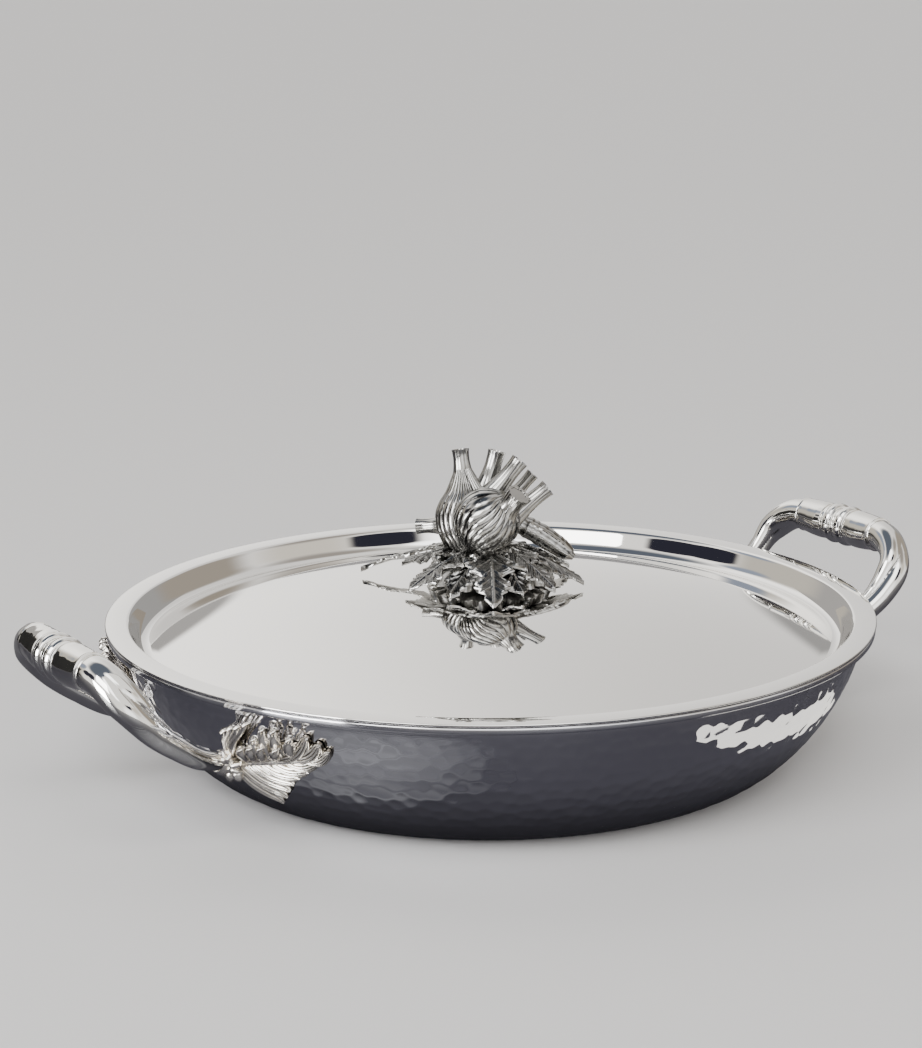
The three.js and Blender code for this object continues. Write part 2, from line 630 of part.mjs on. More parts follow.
const point = (x, y, z) => new THREE.Vector3(x, y, z).multiplyScalar(HUNDREDTH);
const FRONT_BULB = {
  root: point(-18, -7.5, 28.5),
  crown: point(13, -12.5, 69.5),
  radius: 26 * HUNDREDTH,
  outline: ROUND_BULB,
  stalks: [
    [point(8, -16, 54), point(22, -25, 72.7), 7.2 * HUNDREDTH],
    [point(15, -5, 50), point(44, -4, 72.7), 7 * HUNDREDTH],
    [point(-2, -2, 62), point(23, 0, 93), 6.5 * HUNDREDTH],
  ],
};
const REAR_BULB = {
  root: point(-13, 5, 22),
  crown: point(-20, 14, 84),
  radius: 26.5 * HUNDREDTH,
  outline: DRAWN_BULB,
  stalks: [
    [point(-19, 13, 70), point(-22, 17, 99.4), 6 * HUNDREDTH],
    [point(-4, 14, 62), point(7, 17, 97.7), 5.7 * HUNDREDTH],
    [point(10, 10, 54), point(33, 12.5, 80), 5.4 * HUNDREDTH],
    [point(-30, 9, 42), point(-55, 16.7, 38.7), 6.4 * HUNDREDTH],
  ],
};

function lyingStem(grow = 0) {
  const [start, end] = [point(19, 12, 44), point(64, 8, 15.5)];
  const length = start.distanceTo(end);
  const outline = STEM_OUTLINE.map(([share, width]) => [STEM_RADIUS * width + grow, length * share]);
  const stem = lathe([[0, 0], ...outline, [0, length]], SECTION_STEPS);
  return solid(aimed(stem, start, end.clone().sub(start)));
}

function finialPieces() {
  const leaves = rosette();
  const raised = leaves.translate([0, 0, CLEARANCE]);
  const floor = CROWN_HEIGHT + CLEARANCE;
  const wide = RIM_RADIUS;
  const below = solid(lathe([[0, -wide], [wide, -wide], [wide, floor], [0, floor]], SMALL_STEPS));
  const bore = STUD_RADIUS + CLEARANCE;
  const top = CROWN_HEIGHT + STUD_REACH + CLEARANCE;
  const hole = solid(lathe([[0, 0], [bore, 0], [bore, top], [0, top]], SMALL_STEPS));
  const front = bulb(FRONT_BULB).subtract(below).subtract(hole);
  const rear = bulb(REAR_BULB).subtract(below).subtract(hole).subtract(bulb(FRONT_BULB, CLEARANCE));
  const stem = lyingStem().subtract(raised)
    .subtract(bulb(FRONT_BULB, CLEARANCE)).subtract(bulb(REAR_BULB, CLEARANCE));
  return { leaves, front, rear, stem };
}

function stud() {
  const low = -LID_SHEET - WASHER_THICKNESS - NUT_HEIGHT;
  const high = CROWN_HEIGHT + STUD_REACH;
  return lathe([[0, low], [STUD_RADIUS, low], [STUD_RADIUS, high], [0, high]], SECTION_STEPS);
}

function washer() {
  const [top, bore] = [-LID_SHEET - CLEARANCE, STUD_RADIUS + CLEARANCE];
  const low = top - WASHER_THICKNESS + CLEARANCE;
  return lathe([[bore, top], [WASHER_RADIUS, top], [WASHER_RADIUS, low], [bore, low], [bore, top]], HUB_STEPS);
}

// A hexagonal nut closed by a dome, bored for the stud's end
function domeNut() {
  const top = -LID_SHEET - WASHER_THICKNESS - CLEARANCE;
  const corner = NUT_ACROSS_CORNERS / 2;
  const low = top - NUT_HEIGHT;
  const hex = solid(lathe([[0, low], [corner, low], [corner, top], [0, top]], 6));
  const cap = Array.from({ length: CAP_STEPS + 1 }, (_, i) => {
    const angle = (Math.PI / 2) * (i / CAP_STEPS);
    return [NUT_CAP_RADIUS * Math.sin(angle), low - NUT_CAP_HEIGHT * Math.cos(angle)];
  });
  const inside = low + CLEARANCE;
  const round = solid(lathe([...cap, [NUT_CAP_RADIUS, inside], [0, inside]], SECTION_STEPS));
  const bore = STUD_RADIUS + CLEARANCE;
  const above = top + CLEARANCE;
  const hole = solid(lathe([[0, low], [bore, low], [bore, above], [0, above]], SECTION_STEPS));
  return shape(hex.add(round).subtract(hole));
}

// Assembly
const hammeredSteel = new THREE.MeshStandardMaterial({ color: 0x8c8d92, roughness: 0.2, metalness: 1 });
const mirrorSteel = new THREE.MeshStandardMaterial({ color: 0xd4d2cf, roughness: 0.06, metalness: 1 });
const polishedCast = new THREE.MeshStandardMaterial({ color: 0xc9c7c2, roughness: 0.1, metalness: 1 });
const leafSilver = new THREE.MeshStandardMaterial({ color: 0xb9b2a4, roughness: 0.3, metalness: 1 });
const pewter = new THREE.MeshStandardMaterial({ color: 0x77746f, roughness: 0.35, metalness: 1 });
const plainSteel = new THREE.MeshStandardMaterial({ color: 0xa9a9a9, roughness: 0.3, metalness: 1 });

const part = new THREE.Group();
const finial = new THREE.Group();
finial.position.z = SEAT_Z;
finial.rotation.z = radians(FINIAL_TURN);
part.add(finial);

function put(group, name, geometry, material) {
  const mesh = new THREE.Mesh(geometry, material);
  mesh.name = name;
  group.add(mesh);
}

put(part, 'pan_body', panBody(), hammeredSteel);
put(part, 'lid_shell', lidShell(), mirrorSteel);

const SIDES = ['right', 'left'];
const ENDS = ['a', 'b'];
const leafCasting = escutcheon();
SIDES.forEach((side, turn) => {
  put(part, `handle_${side}`, closed(handle().rotateZ(turn * Math.PI)), polishedCast);
  ENDS.forEach((end, mirrored) => {
    put(part, `leaf_${side}_${end}`, shape(atFoot(leafCasting, turn, mirrored === 1)), leafSilver);
  });
});
everyRivet(rivet).forEach((body, i) => put(part, `rivet_${i + 1}`, shape(body), plainSteel));

const pieces = finialPieces();
put(finial, 'finial_rosette', shape(pieces.leaves), pewter);
put(finial, 'fennel_bulb_front', shape(pieces.front), pewter);
put(finial, 'fennel_bulb_rear', shape(pieces.rear), pewter);
put(finial, 'fennel_stem', shape(pieces.stem), pewter);
put(finial, 'finial_stud', stud(), plainSteel);
put(finial, 'lid_washer', washer(), plainSteel);
put(finial, 'lid_nut', domeNut(), plainSteel);

export default part;
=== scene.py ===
import math

import bpy
import numpy as np
from mathutils import Matrix, Vector


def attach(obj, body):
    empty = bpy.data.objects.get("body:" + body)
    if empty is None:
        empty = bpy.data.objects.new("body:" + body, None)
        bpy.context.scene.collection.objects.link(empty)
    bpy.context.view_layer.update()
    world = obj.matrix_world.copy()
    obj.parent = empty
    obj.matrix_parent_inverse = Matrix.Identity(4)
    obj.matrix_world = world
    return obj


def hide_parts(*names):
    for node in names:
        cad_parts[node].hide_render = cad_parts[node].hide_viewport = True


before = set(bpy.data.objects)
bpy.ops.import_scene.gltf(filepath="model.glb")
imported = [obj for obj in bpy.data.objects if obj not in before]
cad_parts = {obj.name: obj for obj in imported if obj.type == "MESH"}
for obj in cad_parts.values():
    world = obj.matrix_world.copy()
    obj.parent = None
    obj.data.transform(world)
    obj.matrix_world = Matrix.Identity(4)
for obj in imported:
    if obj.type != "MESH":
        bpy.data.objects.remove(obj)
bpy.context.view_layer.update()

# All sizes below are millimetres and degrees, in the same frame as the solids.
MM = 0.001
TAU = 2 * math.pi

# Pan body
RIM_RADIUS = 139.7
RIM_WIDTH = 4.3
RIM_THICKNESS = 2.3
RIM_ROUND = 0.6
PAN_HEIGHT = 51.8
PAN_SHEET = 1.6
BASE_RADIUS = 99.0
SIDE_ROUNDNESS = 1.5
MARK_WIDTH = 6.2
MARK_HEIGHT = 4.9
MARK_DEPTH = 0.23
MARK_JITTER = 0.62
MARK_REACH = 0.42 # of a mark's lattice step, squared
PLAIN_BAND = 5.0 # under the rim, without marks
BODY_AROUND = 940
WALL_STEPS = 92
INNER_STEPS = 36

# Lid
LID_SHEET = 1.0
LID_CLEARANCE = 1.1
LID_GAP = 0.3
FLANGE_OVERHANG = 0.3
FLANGE_ROUND = 0.35
GUTTER_DEPTH = 9.2
GUTTER_SLOPE = 4.7
GUTTER_ROUND = 3.2
DOME_RISE = 19.7
SEAT_RADIUS = 13.0
STUD_HOLE = 3.3
COVE_SHARE = 0.45 # how far the gutter's round climbs the sunken wall
LIP_SHARE = 0.82 # where the sunken wall's upper edge begins to turn
LID_AROUND = 320

# Handles
GRIP_OFFSET = 30.2
GRIP_RISE = 10.0
GRIP_LENGTH = 44.0
GRIP_RADIUS = 8.0
LEG_SPREAD = 38.8
LEG_RADIUS = 6.5
STRAND_TURN = -45.0
STRAND_START = 55.0
FOOT_ANGLE = 14.1
FOOT_HEIGHT = 24.9
TENON_RADIUS = 2.3
TENON_LENGTH = 5.0
TENON_STANDOFF = 4.2
HANDLE_SIDES = 96

# Leaf escutcheons
LEAF_LIFT = 15.0
CLEARANCE = 0.3

# Rivets
RIVET_PLACES = [(7.5, -2.7), (20, 4.5)]
RIVET_HEAD_RADIUS = 4.0
RIVET_HEAD_HEIGHT = 1.8
RIVET_HEAD_GAP = 0.8
RIVET_RADIUS = 1.8
RIVET_REACH = 0.9

# Finial
FINIAL_TURN = -33.0
FINIAL_HEIGHT = 48.0
CROWN_HEIGHT = 14.0
CROWN_RADIUS = 11.0
ROSETTE_THICKNESS = 1.2
ROSETTE_CLEARANCE = 0.8
HUB_AROUND = 220
STEM_RADII = [3.8, 4.0, 4.2, 4.3, 4.3, 4.2, 4.1, 4.0, 3.2, 1.2]

# Photographed view
CAMERA_DISTANCE = 928.5
CAMERA_ELEVATION = 15.18
HANDLE_AZIMUTH = 33.25
AIM_YAW = -0.649
AIM_PITCH = 1.903
AIM_ROLL = -0.25
LENS = 86.95

WALL_TOP_RADIUS = RIM_RADIUS - RIM_WIDTH
WALL_TOP = PAN_HEIGHT - RIM_THICKNESS
MOUTH_RADIUS = WALL_TOP_RADIUS - PAN_SHEET
GRIP_REACH = RIM_RADIUS + GRIP_OFFSET
GRIP_HEIGHT = PAN_HEIGHT + GRIP_RISE
LID_TOP = PAN_HEIGHT + LID_GAP + LID_SHEET
LID_MOUTH_RADIUS = MOUTH_RADIUS - LID_CLEARANCE - LID_SHEET
GUTTER_RADIUS = LID_MOUTH_RADIUS - GUTTER_SLOPE
GUTTER_Z = LID_TOP - GUTTER_DEPTH
SEAT_Z = GUTTER_Z + DOME_RISE
HUNDREDTH = FINIAL_HEIGHT / 100
UP = np.array([0.0, 0.0, 1.0])
rng = np.random.default_rng(7)


# Small helpers

def lerp(a, b, t):
    return a + (b - a) * t


def smooth(low, high, x):
    t = np.clip((x - low) / (high - low), 0, 1)
    return t * t * (3 - 2 * t)


def unit(v):
    return v / np.linalg.norm(v, axis=-1, keepdims=True)


def turned(points, degrees):
    c, s = math.cos(math.radians(degrees)), math.sin(math.radians(degrees))
    return points @ np.array([[c, s, 0], [-s, c, 0], [0, 0, 1]])


def catmull(controls, samples=60):
    """Points along a smooth curve through the controls, close together."""
    p = [np.asarray(c, float) for c in controls]
    p = [2 * p[0] - p[1], *p, 2 * p[-1] - p[-2]]
    curve = []
    t = np.linspace(0, 1, samples, endpoint=False)[:, None]
    for a, b, c, d in zip(p, p[1:], p[2:], p[3:]):
        ab, bc, cd = (math.sqrt(np.linalg.norm(y - x)) for x, y in ((a, b), (b, c), (c, d)))
        start = ((b - a) / ab - (c - a) / (ab + bc) + (c - b) / bc) * bc
        end = ((c - b) / bc - (d - b) / (bc + cd) + (d - c) / cd) * bc
        square, cube = 3 * (c - b) - 2 * start - end, 2 * (b - c) + start + end
        curve.append(b + start * t + square * t**2 + cube * t**3)
    return np.concatenate([*curve, p[-2][None]])


def spaced(curve, steps):
    """The same curve as points at equal steps, or at given distances, with its length."""
    length = np.concatenate([[0], np.cumsum(np.linalg.norm(np.diff(curve, axis=0), axis=1))])
    at = np.linspace(0, length[-1], steps) if np.isscalar(steps) else np.asarray(steps)
    return np.stack([np.interp(at, length, curve[:, k]) for k in range(3)], axis=1), length[-1]


# Closed skins: points, four-cornered faces, three-cornered faces and a relief value for each point

def outward(points, quads, tris, relief):
    corners = np.concatenate([quads[:, [0, 1, 2]], quads[:, [0, 2, 3]], tris])
    a, b, c = (points[corners[:, k]] for k in range(3))
    if np.einsum("ij,ij->", a, np.cross(b, c)) < 0:
        quads, tris = quads[:, ::-1], tris[:, ::-1]
    return points, quads, tris, relief


def loft(rings, relief=None, ring=False):
    """A skin over rings of points, closed by a fan on each end, or joined end to end."""
    rows, sides = rings.shape[:2]
    shade = np.ones((rows, sides)) if relief is None else np.broadcast_to(relief, (rows, sides))
    grid = np.arange(rows * sides).reshape(rows, sides)
    beside = np.roll(grid, -1, axis=1)
    below, above = (grid, np.roll(grid, -1, axis=0)) if ring else (grid[:-1], grid[1:])
    low, high = (beside, np.roll(beside, -1, axis=0)) if ring else (beside[:-1], beside[1:])
    quads = np.stack([below, low, high, above], axis=-1).reshape(-1, 4)
    points = rings.reshape(-1, 3)
    values = shade.ravel()
    if ring:
        return outward(points, quads, np.empty((0, 3), int), values)
    points = np.concatenate([points, rings[[0, -1]].mean(axis=1)])
    values = np.concatenate([values, shade[[0, -1]].mean(axis=1)])
    count = rows * sides
    first = np.stack([beside[0], grid[0], np.full(sides, count)], axis=-1)
    last = np.stack([grid[-1], beside[-1], np.full(sides, count + 1)], axis=-1)
    return outward(points, quads, np.concatenate([first, last]), values)


def lathe(profile, steps):
    """Rings of points round the Z axis for a profile of radius and height."""
    profile = np.asarray(profile, float)
    angle = np.arange(steps) * TAU / steps
    r, z = profile[:, :1], profile[:, 1:]
    return np.stack([r * np.cos(angle), r * np.sin(angle), z + 0 * angle], axis=-1)


def aimed(points, start, direction):
    """Points made along +Z, moved so that they start at a point and run in a direction."""
    w = unit(np.asarray(direction, float))
    helper = np.array([1.0, 0, 0]) if abs(w[0]) < 0.9 else np.array([0, 1.0, 0])
    u = unit(np.cross(helper, w))
    v = np.cross(w, u)
    return np.asarray(start) + points @ np.stack([u, v, w])


def tube(controls, radii, steps=40, sides=20, flat=1.0, ribs=0, rib_depth=0.0, across=UP):
    """A rounded strand along a curve: radii are spread along it, flat is its thickness over its width."""
    curve, _ = spaced(catmull(controls), steps)
    along = unit(np.gradient(curve, axis=0))
    first = unit(np.cross(along, np.broadcast_to(across, along.shape)))
    second = np.cross(first, along)
    angle = np.arange(sides) * TAU / sides
    share = np.linspace(0, 1, steps)
    size = np.interp(share, np.linspace(0, 1, len(radii)), radii)[:, None]
    ridge = np.abs(np.cos(ribs * angle / 2)) ** 0.6 if ribs else np.ones(sides)
    r = size * (1 - rib_depth * (1 - ridge))
    rings = (
        curve[:, None]
        + first[:, None] * (r * np.cos(angle))[..., None]
        + second[:, None] * (flat * r * np.sin(angle))[..., None]
    )
    return loft(rings, np.broadcast_to(ridge, r.shape))


def moved(skins, move):
    return [outward(move(points), quads, tris, relief) for points, quads, tris, relief in skins]


def piece(name, skins, material, body, replaced, sharp=45):
    """One object made of closed skins that stands for a node of the solids."""
    offset = 0
    points, faces, relief = [], [], []
    for skin_points, quads, tris, values in skins:
        points.append(skin_points)
        relief.append(values)
        faces += (quads + offset).tolist() + (tris + offset).tolist()
        offset += len(skin_points)
    mesh = bpy.data.meshes.new(name)
    mesh.from_pydata((np.concatenate(points) * MM).tolist(), [], faces)
    shade = mesh.attributes.new("relief", "FLOAT", "POINT")
    shade.data.foreach_set("value", np.concatenate(relief).astype(np.float32))
    mesh.polygons.foreach_set("use_smooth", np.ones(len(faces), bool))
    mesh.set_sharp_from_angle(angle=math.radians(sharp))
    mesh.materials.append(material)
    obj = bpy.data.objects.new(name, mesh)
    bpy.context.scene.collection.objects.link(obj)
    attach(obj, body)
    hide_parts(replaced)
    return obj


# Materials

# The relief value of an unpolished underside
UNDERSIDE = 1.6


def metal(name, color, roughness, spread=0.02, scale=30.0):
    """A bare metal whose roughness drifts a little over the surface."""
    material = bpy.data.materials.new(name)
    material.use_nodes = True
    nodes, links = material.node_tree.nodes, material.node_tree.links
    shader = nodes["Principled BSDF"]
    shader.inputs["Base Color"].default_value = (*color, 1)
    shader.inputs["Metallic"].default_value = 1
    noise = nodes.new("ShaderNodeTexNoise")
    noise.inputs["Scale"].default_value = scale
    place = nodes.new("ShaderNodeTexCoord")
    links.new(place.outputs["Object"], noise.inputs["Vector"])
    drift = nodes.new("ShaderNodeMapRange")
    drift.inputs["To Min"].default_value = max(roughness - spread, 0)
    drift.inputs["To Max"].default_value = roughness + spread
    links.new(noise.outputs["Fac"], drift.inputs["Value"])
    links.new(drift.outputs["Result"], shader.inputs["Roughness"])
    return material


def antiqued(name, ridge, recess, roughness, spread, grain=0.25):
    """A cast metal that is bright on its ridges, dark in its recesses and unpolished on its undersides."""
    material = metal(name, ridge, roughness, spread, 260.0)
    nodes, links = material.node_tree.nodes, material.node_tree.links
    shader = nodes["Principled BSDF"]
    relief = nodes.new("ShaderNodeAttribute")
    relief.attribute_name = "relief"
    noise = nodes.new("ShaderNodeTexNoise")
    noise.inputs["Scale"].default_value = 420.0
    noise.inputs["Detail"].default_value = 4.0
    place = nodes.new("ShaderNodeTexCoord")
    links.new(place.outputs["Object"], noise.inputs["Vector"])
    shift = nodes.new("ShaderNodeMapRange")
    shift.inputs["To Min"].default_value = -grain
    shift.inputs["To Max"].default_value = grain
    links.new(noise.outputs["Fac"], shift.inputs["Value"])
    total = nodes.new("ShaderNodeMath")
    total.operation = "ADD"
    links.new(relief.outputs["Fac"], total.inputs[0])
    links.new(shift.outputs["Result"], total.inputs[1])
    ramp = nodes.new("ShaderNodeValToRGB")
    ramp.color_ramp.elements[0].position = 0.1
    ramp.color_ramp.elements[0].color = (*recess, 1)
    ramp.color_ramp.elements[1].position = 0.85
    ramp.color_ramp.elements[1].color = (*ridge, 1)
    links.new(total.outputs["Value"], ramp.inputs["Fac"])
    links.new(ramp.outputs["Color"], shader.inputs["Base Color"])
    unpolished = nodes.new("ShaderNodeMapRange")
    unpolished.inputs["From Min"].default_value = 1
    unpolished.inputs["From Max"].default_value = UNDERSIDE
    unpolished.inputs["To Max"].default_value = 0.2
    links.new(relief.outputs["Fac"], unpolished.inputs["Value"])
    sum_roughness = nodes.new("ShaderNodeMath")
    links.new(shader.inputs["Roughness"].links[0].from_socket, sum_roughness.inputs[0])
    links.new(unpolished.outputs["Result"], sum_roughness.inputs[1])
    links.new(sum_roughness.outputs["Value"], shader.inputs["Roughness"])
    return material


hammered_steel = metal("hammered_steel", (0.74, 0.74, 0.77), 0.05, 0.02, 40.0)
mirror_steel = metal("mirror_steel", (0.86, 0.85, 0.83), 0.035, 0.01, 12.0)
polished_cast = metal("polished_cast", (0.86, 0.85, 0.82), 0.07, 0.02, 40.0)
leaf_silver = antiqued("leaf_silver", (0.97, 0.93, 0.86), (0.17, 0.15, 0.12), 0.26, 0.05)
pewter = antiqued("pewter", (0.43, 0.425, 0.41), (0.012, 0.0115, 0.011), 0.14, 0.05)
plain_steel = metal("plain_steel", (0.66, 0.66, 0.66), 0.25, 0.05, 60.0)


# The pan's side, from the edge of the base up to the rim, as radius, height, length and slope

def side_profile(steps):
    power = 2 / SIDE_ROUNDNESS
    angle = np.linspace(math.pi / 2, 0, steps + 1)
    radius = lerp(BASE_RADIUS, WALL_TOP_RADIUS, np.maximum(np.cos(angle), 0) ** power)
    return np.stack([radius, WALL_TOP * (1 - np.sin(angle) ** power)], axis=1)


fine_side = side_profile(600)
side_length = np.concatenate([[0], np.cumsum(np.linalg.norm(np.diff(fine_side, axis=0), axis=1))])
side_slope = unit(np.gradient(fine_side, axis=0))


def at_side(length):
    """Radius, height and the two parts of the outward normal at lengths up the side."""
    r, z = (np.interp(length, side_length, fine_side[:, k]) for k in (0, 1))
    dr, dz = (np.interp(length, side_length, side_slope[:, k]) for k in (0, 1))
    return r, z, dz, -dr


foot_length = np.interp(FOOT_HEIGHT, fine_side[:, 1], side_length)
foot_radius = at_side(foot_length)[0]


def on_wall(along, up, out):
    """Points near the wall, from the foot: along it, up it and out of it."""
    along, up, out = np.broadcast_arrays(*(np.asarray(v, float) for v in (along, up, out)))
    r, z, out_r, out_z = at_side(np.clip(foot_length + up, 0, side_length[-1]))
    azimuth = math.radians(FOOT_ANGLE) + along / foot_radius
    radius = r + out_r * out
    return np.stack([radius * np.cos(azimuth), radius * np.sin(azimuth), z + out_z * out], axis=-1)


# Pan body

def hammer_marks(azimuth, length):
    """Depth of the hammer marks: shallow dishes on a loose lattice that meet in ridges."""
    columns = round(TAU * WALL_TOP_RADIUS / MARK_WIDTH)
    rows = math.ceil(side_length[-1] / MARK_HEIGHT) + 4
    shift = (rng.random((rows, columns, 2)) - 0.5) * MARK_JITTER
    size = 0.75 + 0.5 * rng.random((rows, columns))
    col = azimuth / TAU * columns
    row = length / MARK_HEIGHT
    nearest = np.full(np.broadcast_shapes(col.shape, row.shape), 9.0)
    for dj in (-1, 0, 1):
        j = np.floor(row).astype(int) + dj
        for di in (-2, -1, 0, 1, 2):
            i = np.floor(col).astype(int) + di
            jj, ii = np.broadcast_arrays(j + 2, i % columns)
            x = col - (i + 0.5 + 0.5 * (j % 2) + shift[jj, ii, 0])
            y = row - (j + 0.5 + shift[jj, ii, 1])
            nearest = np.minimum(nearest, (x * x + y * y) * size[jj, ii])
    return -MARK_DEPTH * (1 - np.clip(nearest / MARK_REACH, 0, 1))


def pan_body():
    azimuth = np.arange(BODY_AROUND) * TAU / BODY_AROUND
    length = np.linspace(0, side_length[-1], WALL_STEPS)[:, None]
    r, z, out_r, out_z = at_side(length)
    fade = smooth(0, 8, length) * smooth(PLAIN_BAND - 3, PLAIN_BAND + 1, side_length[-1] - length)
    dent = hammer_marks(azimuth[None], length) * fade
    wall = np.stack([
        (r + out_r * dent) * np.cos(azimuth),
        (r + out_r * dent) * np.sin(azimuth),
        z + out_z * dent,
    ], axis=-1)
    base = lathe([(1, 0), (40, 0), (80, 0), (BASE_RADIUS - 2, 0)], BODY_AROUND)
    turn = np.linspace(0, math.pi / 2, 5)
    edge = RIM_RADIUS - RIM_ROUND
    under = [(WALL_TOP_RADIUS + 0.4, WALL_TOP), (edge - 1, WALL_TOP)]
    under += [(edge + RIM_ROUND * math.sin(t), WALL_TOP + RIM_ROUND * (1 - math.cos(t))) for t in turn]
    top = [(edge + RIM_ROUND * math.cos(t), PAN_HEIGHT - RIM_ROUND * (1 - math.sin(t))) for t in turn]
    lip = MOUTH_RADIUS + RIM_ROUND
    mouth = [(lip - RIM_ROUND * math.sin(t), PAN_HEIGHT - RIM_ROUND * (1 - math.cos(t))) for t in turn]
    inner = np.linspace(side_length[-1] - 1, 2, INNER_STEPS)
    r, z, out_r, out_z = at_side(inner)
    inside = np.stack([r - out_r * PAN_SHEET, np.maximum(z - out_z * PAN_SHEET, PAN_SHEET)], axis=1)
    floor = [(90, PAN_SHEET), (50, PAN_SHEET), (1, PAN_SHEET)]
    rest = lathe([*under, *top, *mouth, *inside, *floor], BODY_AROUND)
    skin = loft(np.concatenate([base, wall, rest]))
    piece("pan_body_hammered", [skin], hammered_steel, "pan", "pan_body")


# Lid

def dome_height(r):
    span = GUTTER_RADIUS**2 - SEAT_RADIUS**2
    return GUTTER_Z + DOME_RISE * (1 - np.maximum(np.square(r) - SEAT_RADIUS**2, 0) / span)


def bezier(a, b, c, steps):
    t = np.linspace(0, 1, steps)[:, None]
    return (1 - t)**2 * np.asarray(a) + 2 * t * (1 - t) * np.asarray(b) + t**2 * np.asarray(c)


def lid_shell():
    foot = np.array([GUTTER_RADIUS, GUTTER_Z])
    head = np.array([LID_MOUTH_RADIUS, LID_TOP])
    end = GUTTER_RADIUS - GUTTER_ROUND
    field = np.linspace(STUD_HOLE, end, 60)
    top = [np.stack([field, dome_height(field)], axis=1)]
    top.append(bezier((end, dome_height(end)), foot, lerp(foot, head, COVE_SHARE), 14)[1:])
    brow = np.array([LID_MOUTH_RADIUS + 0.9, LID_TOP])
    top.append(bezier(lerp(foot, head, LIP_SHARE), head, brow, 9))
    edge = RIM_RADIUS + FLANGE_OVERHANG - FLANGE_ROUND
    turn = np.linspace(0, math.pi / 2, 5)
    top.append(np.array([
        (edge + FLANGE_ROUND * math.sin(t), LID_TOP - FLANGE_ROUND * (1 - math.cos(t))) for t in turn
    ]))
    top = np.concatenate(top)
    slope = unit(np.gradient(top, axis=0))
    under = np.stack([top[:, 0] - slope[:, 1] * -LID_SHEET, top[:, 1] - slope[:, 0] * LID_SHEET], axis=1)
    keep = under[:, 1] < LID_TOP - LID_SHEET
    under = under[keep & (under[:, 0] < MOUTH_RADIUS - LID_CLEARANCE)]
    rim = [
        (edge + FLANGE_ROUND, LID_TOP - LID_SHEET + FLANGE_ROUND),
        (edge, LID_TOP - LID_SHEET),
        (MOUTH_RADIUS - LID_CLEARANCE + LID_SHEET / 2, LID_TOP - LID_SHEET),
    ]
    rings = lathe(np.concatenate([top, rim, under[::-1]]), LID_AROUND)
    skin = loft(rings, ring=True)
    piece("lid_shell_mirror", [skin], mirror_steel, "lid", "lid_shell", 50)


# Handles

foot_point = on_wall(0, 0, 0)


def between(x, y, z):
    return np.array([lerp(foot_point[0], GRIP_REACH, x), y, lerp(foot_point[2], GRIP_HEIGHT, z)])


lower_leg = between(0.36, 0.94 * LEG_SPREAD, 0.185)
leg_direction = unit(lower_leg - foot_point)
half_route = [
    foot_point + leg_direction * TENON_STANDOFF,
    foot_point + leg_direction * (TENON_STANDOFF + TENON_LENGTH),
    lower_leg,
    between(0.68, LEG_SPREAD, 0.50),
    between(0.865, 0.95 * LEG_SPREAD, 0.79),
    between(0.957, GRIP_LENGTH / 2 + 0.7 * GRIP_RADIUS, 0.985),
    between(0.99, GRIP_LENGTH / 4, 1),
]
mirror_y = np.array([1, -1, 1])
handle_curve = catmull([*half_route, between(1, 0, 1), *[p * mirror_y for p in half_route[::-1]]])

# Half of the grip's outline, two beads with ledges and a sleeve: shares of its half length and radius
GRIP_OUTLINE = [
    (0, 0.77), (0.02, 0.78), (0.032, 0.89), (0.06, 0.9), (0.072, 0.84), (0.09, 0.93), (0.125, 0.99),
    (0.165, 1), (0.205, 0.98), (0.24, 0.91), (0.255, 0.83), (0.268, 0.9), (0.305, 0.9), (0.318, 0.79),
    (0.338, 0.79), (0.352, 0.895), (0.48, 0.915), (0.7, 0.885), (0.9, 0.835), (0.965, 0.83),
    (0.975, 0.85), (0.992, 0.85), (1, 0.78),
]
# Strands: share of the leg, how far the middle lies off the leg's middle, and radius, by the leg's radius
MAIN_STRAND = [
    (0, 0.06, 0.9), (0.12, 0.1, 0.87), (0.25, 0.26, 0.74), (0.38, 0.24, 0.67), (0.7, 0, 0.62), (1, 0, 0.52),
]
SECOND_STRAND = [
    (0, 0.06, 0.88), (0.12, 0.12, 0.84), (0.25, 0.36, 0.62), (0.38, 0.47, 0.48), (0.52, 0.52, 0.35),
    (0.6, 0.56, 0.24), (0.645, 0.54, 0.14), (0.66, 0.3, 0.05), (1, 0.2, 0.05),
]
# The thin ridges that run on from the second strand's end: share of the leg, rise over the main strand
RIDGE_RISE = [(0.45, -0.2), (0.62, 0.05), (0.66, 0.09), (0.92, 0.07), (1, -0.05)]
RIDGE_RADIUS = 0.13
RIDGE_ANGLES = (-0.26, 0.16)


def circle_reach(offset, radius, twist):
    """How far a circle's edge lies from the leg's middle at an angle, or nought where it isn't."""
    inside = radius**2 - (offset * np.sin(twist))**2
    reach = offset * np.cos(twist) + np.sqrt(np.maximum(inside, 0))
    return np.where((inside > 0) & ((np.cos(twist) > 0) | (radius > offset)), reach, 0)


def strand_radius(share, angle):
    """The joined section of a main strand, a second one over it that ends, and thin ridges after it."""
    twist = angle - np.radians(STRAND_START + STRAND_TURN * share)
    at, offset, radius = np.transpose(MAIN_STRAND)
    main = np.interp(share, at, radius)
    reach = circle_reach(np.interp(share, at, offset), main, twist + math.pi)
    at, offset, radius = np.transpose(SECOND_STRAND)
    offset, radius = np.interp(share, at, offset), np.interp(share, at, radius)
    reach = np.maximum(reach, circle_reach(offset, radius, twist))
    rise = np.interp(share, *np.transpose(RIDGE_RISE))
    for turn in RIDGE_ANGLES:
        offset = main + rise - RIDGE_RADIUS
        reach = np.maximum(reach, circle_reach(offset, RIDGE_RADIUS + 0 * share, twist + turn))
    return reach * LEG_RADIUS


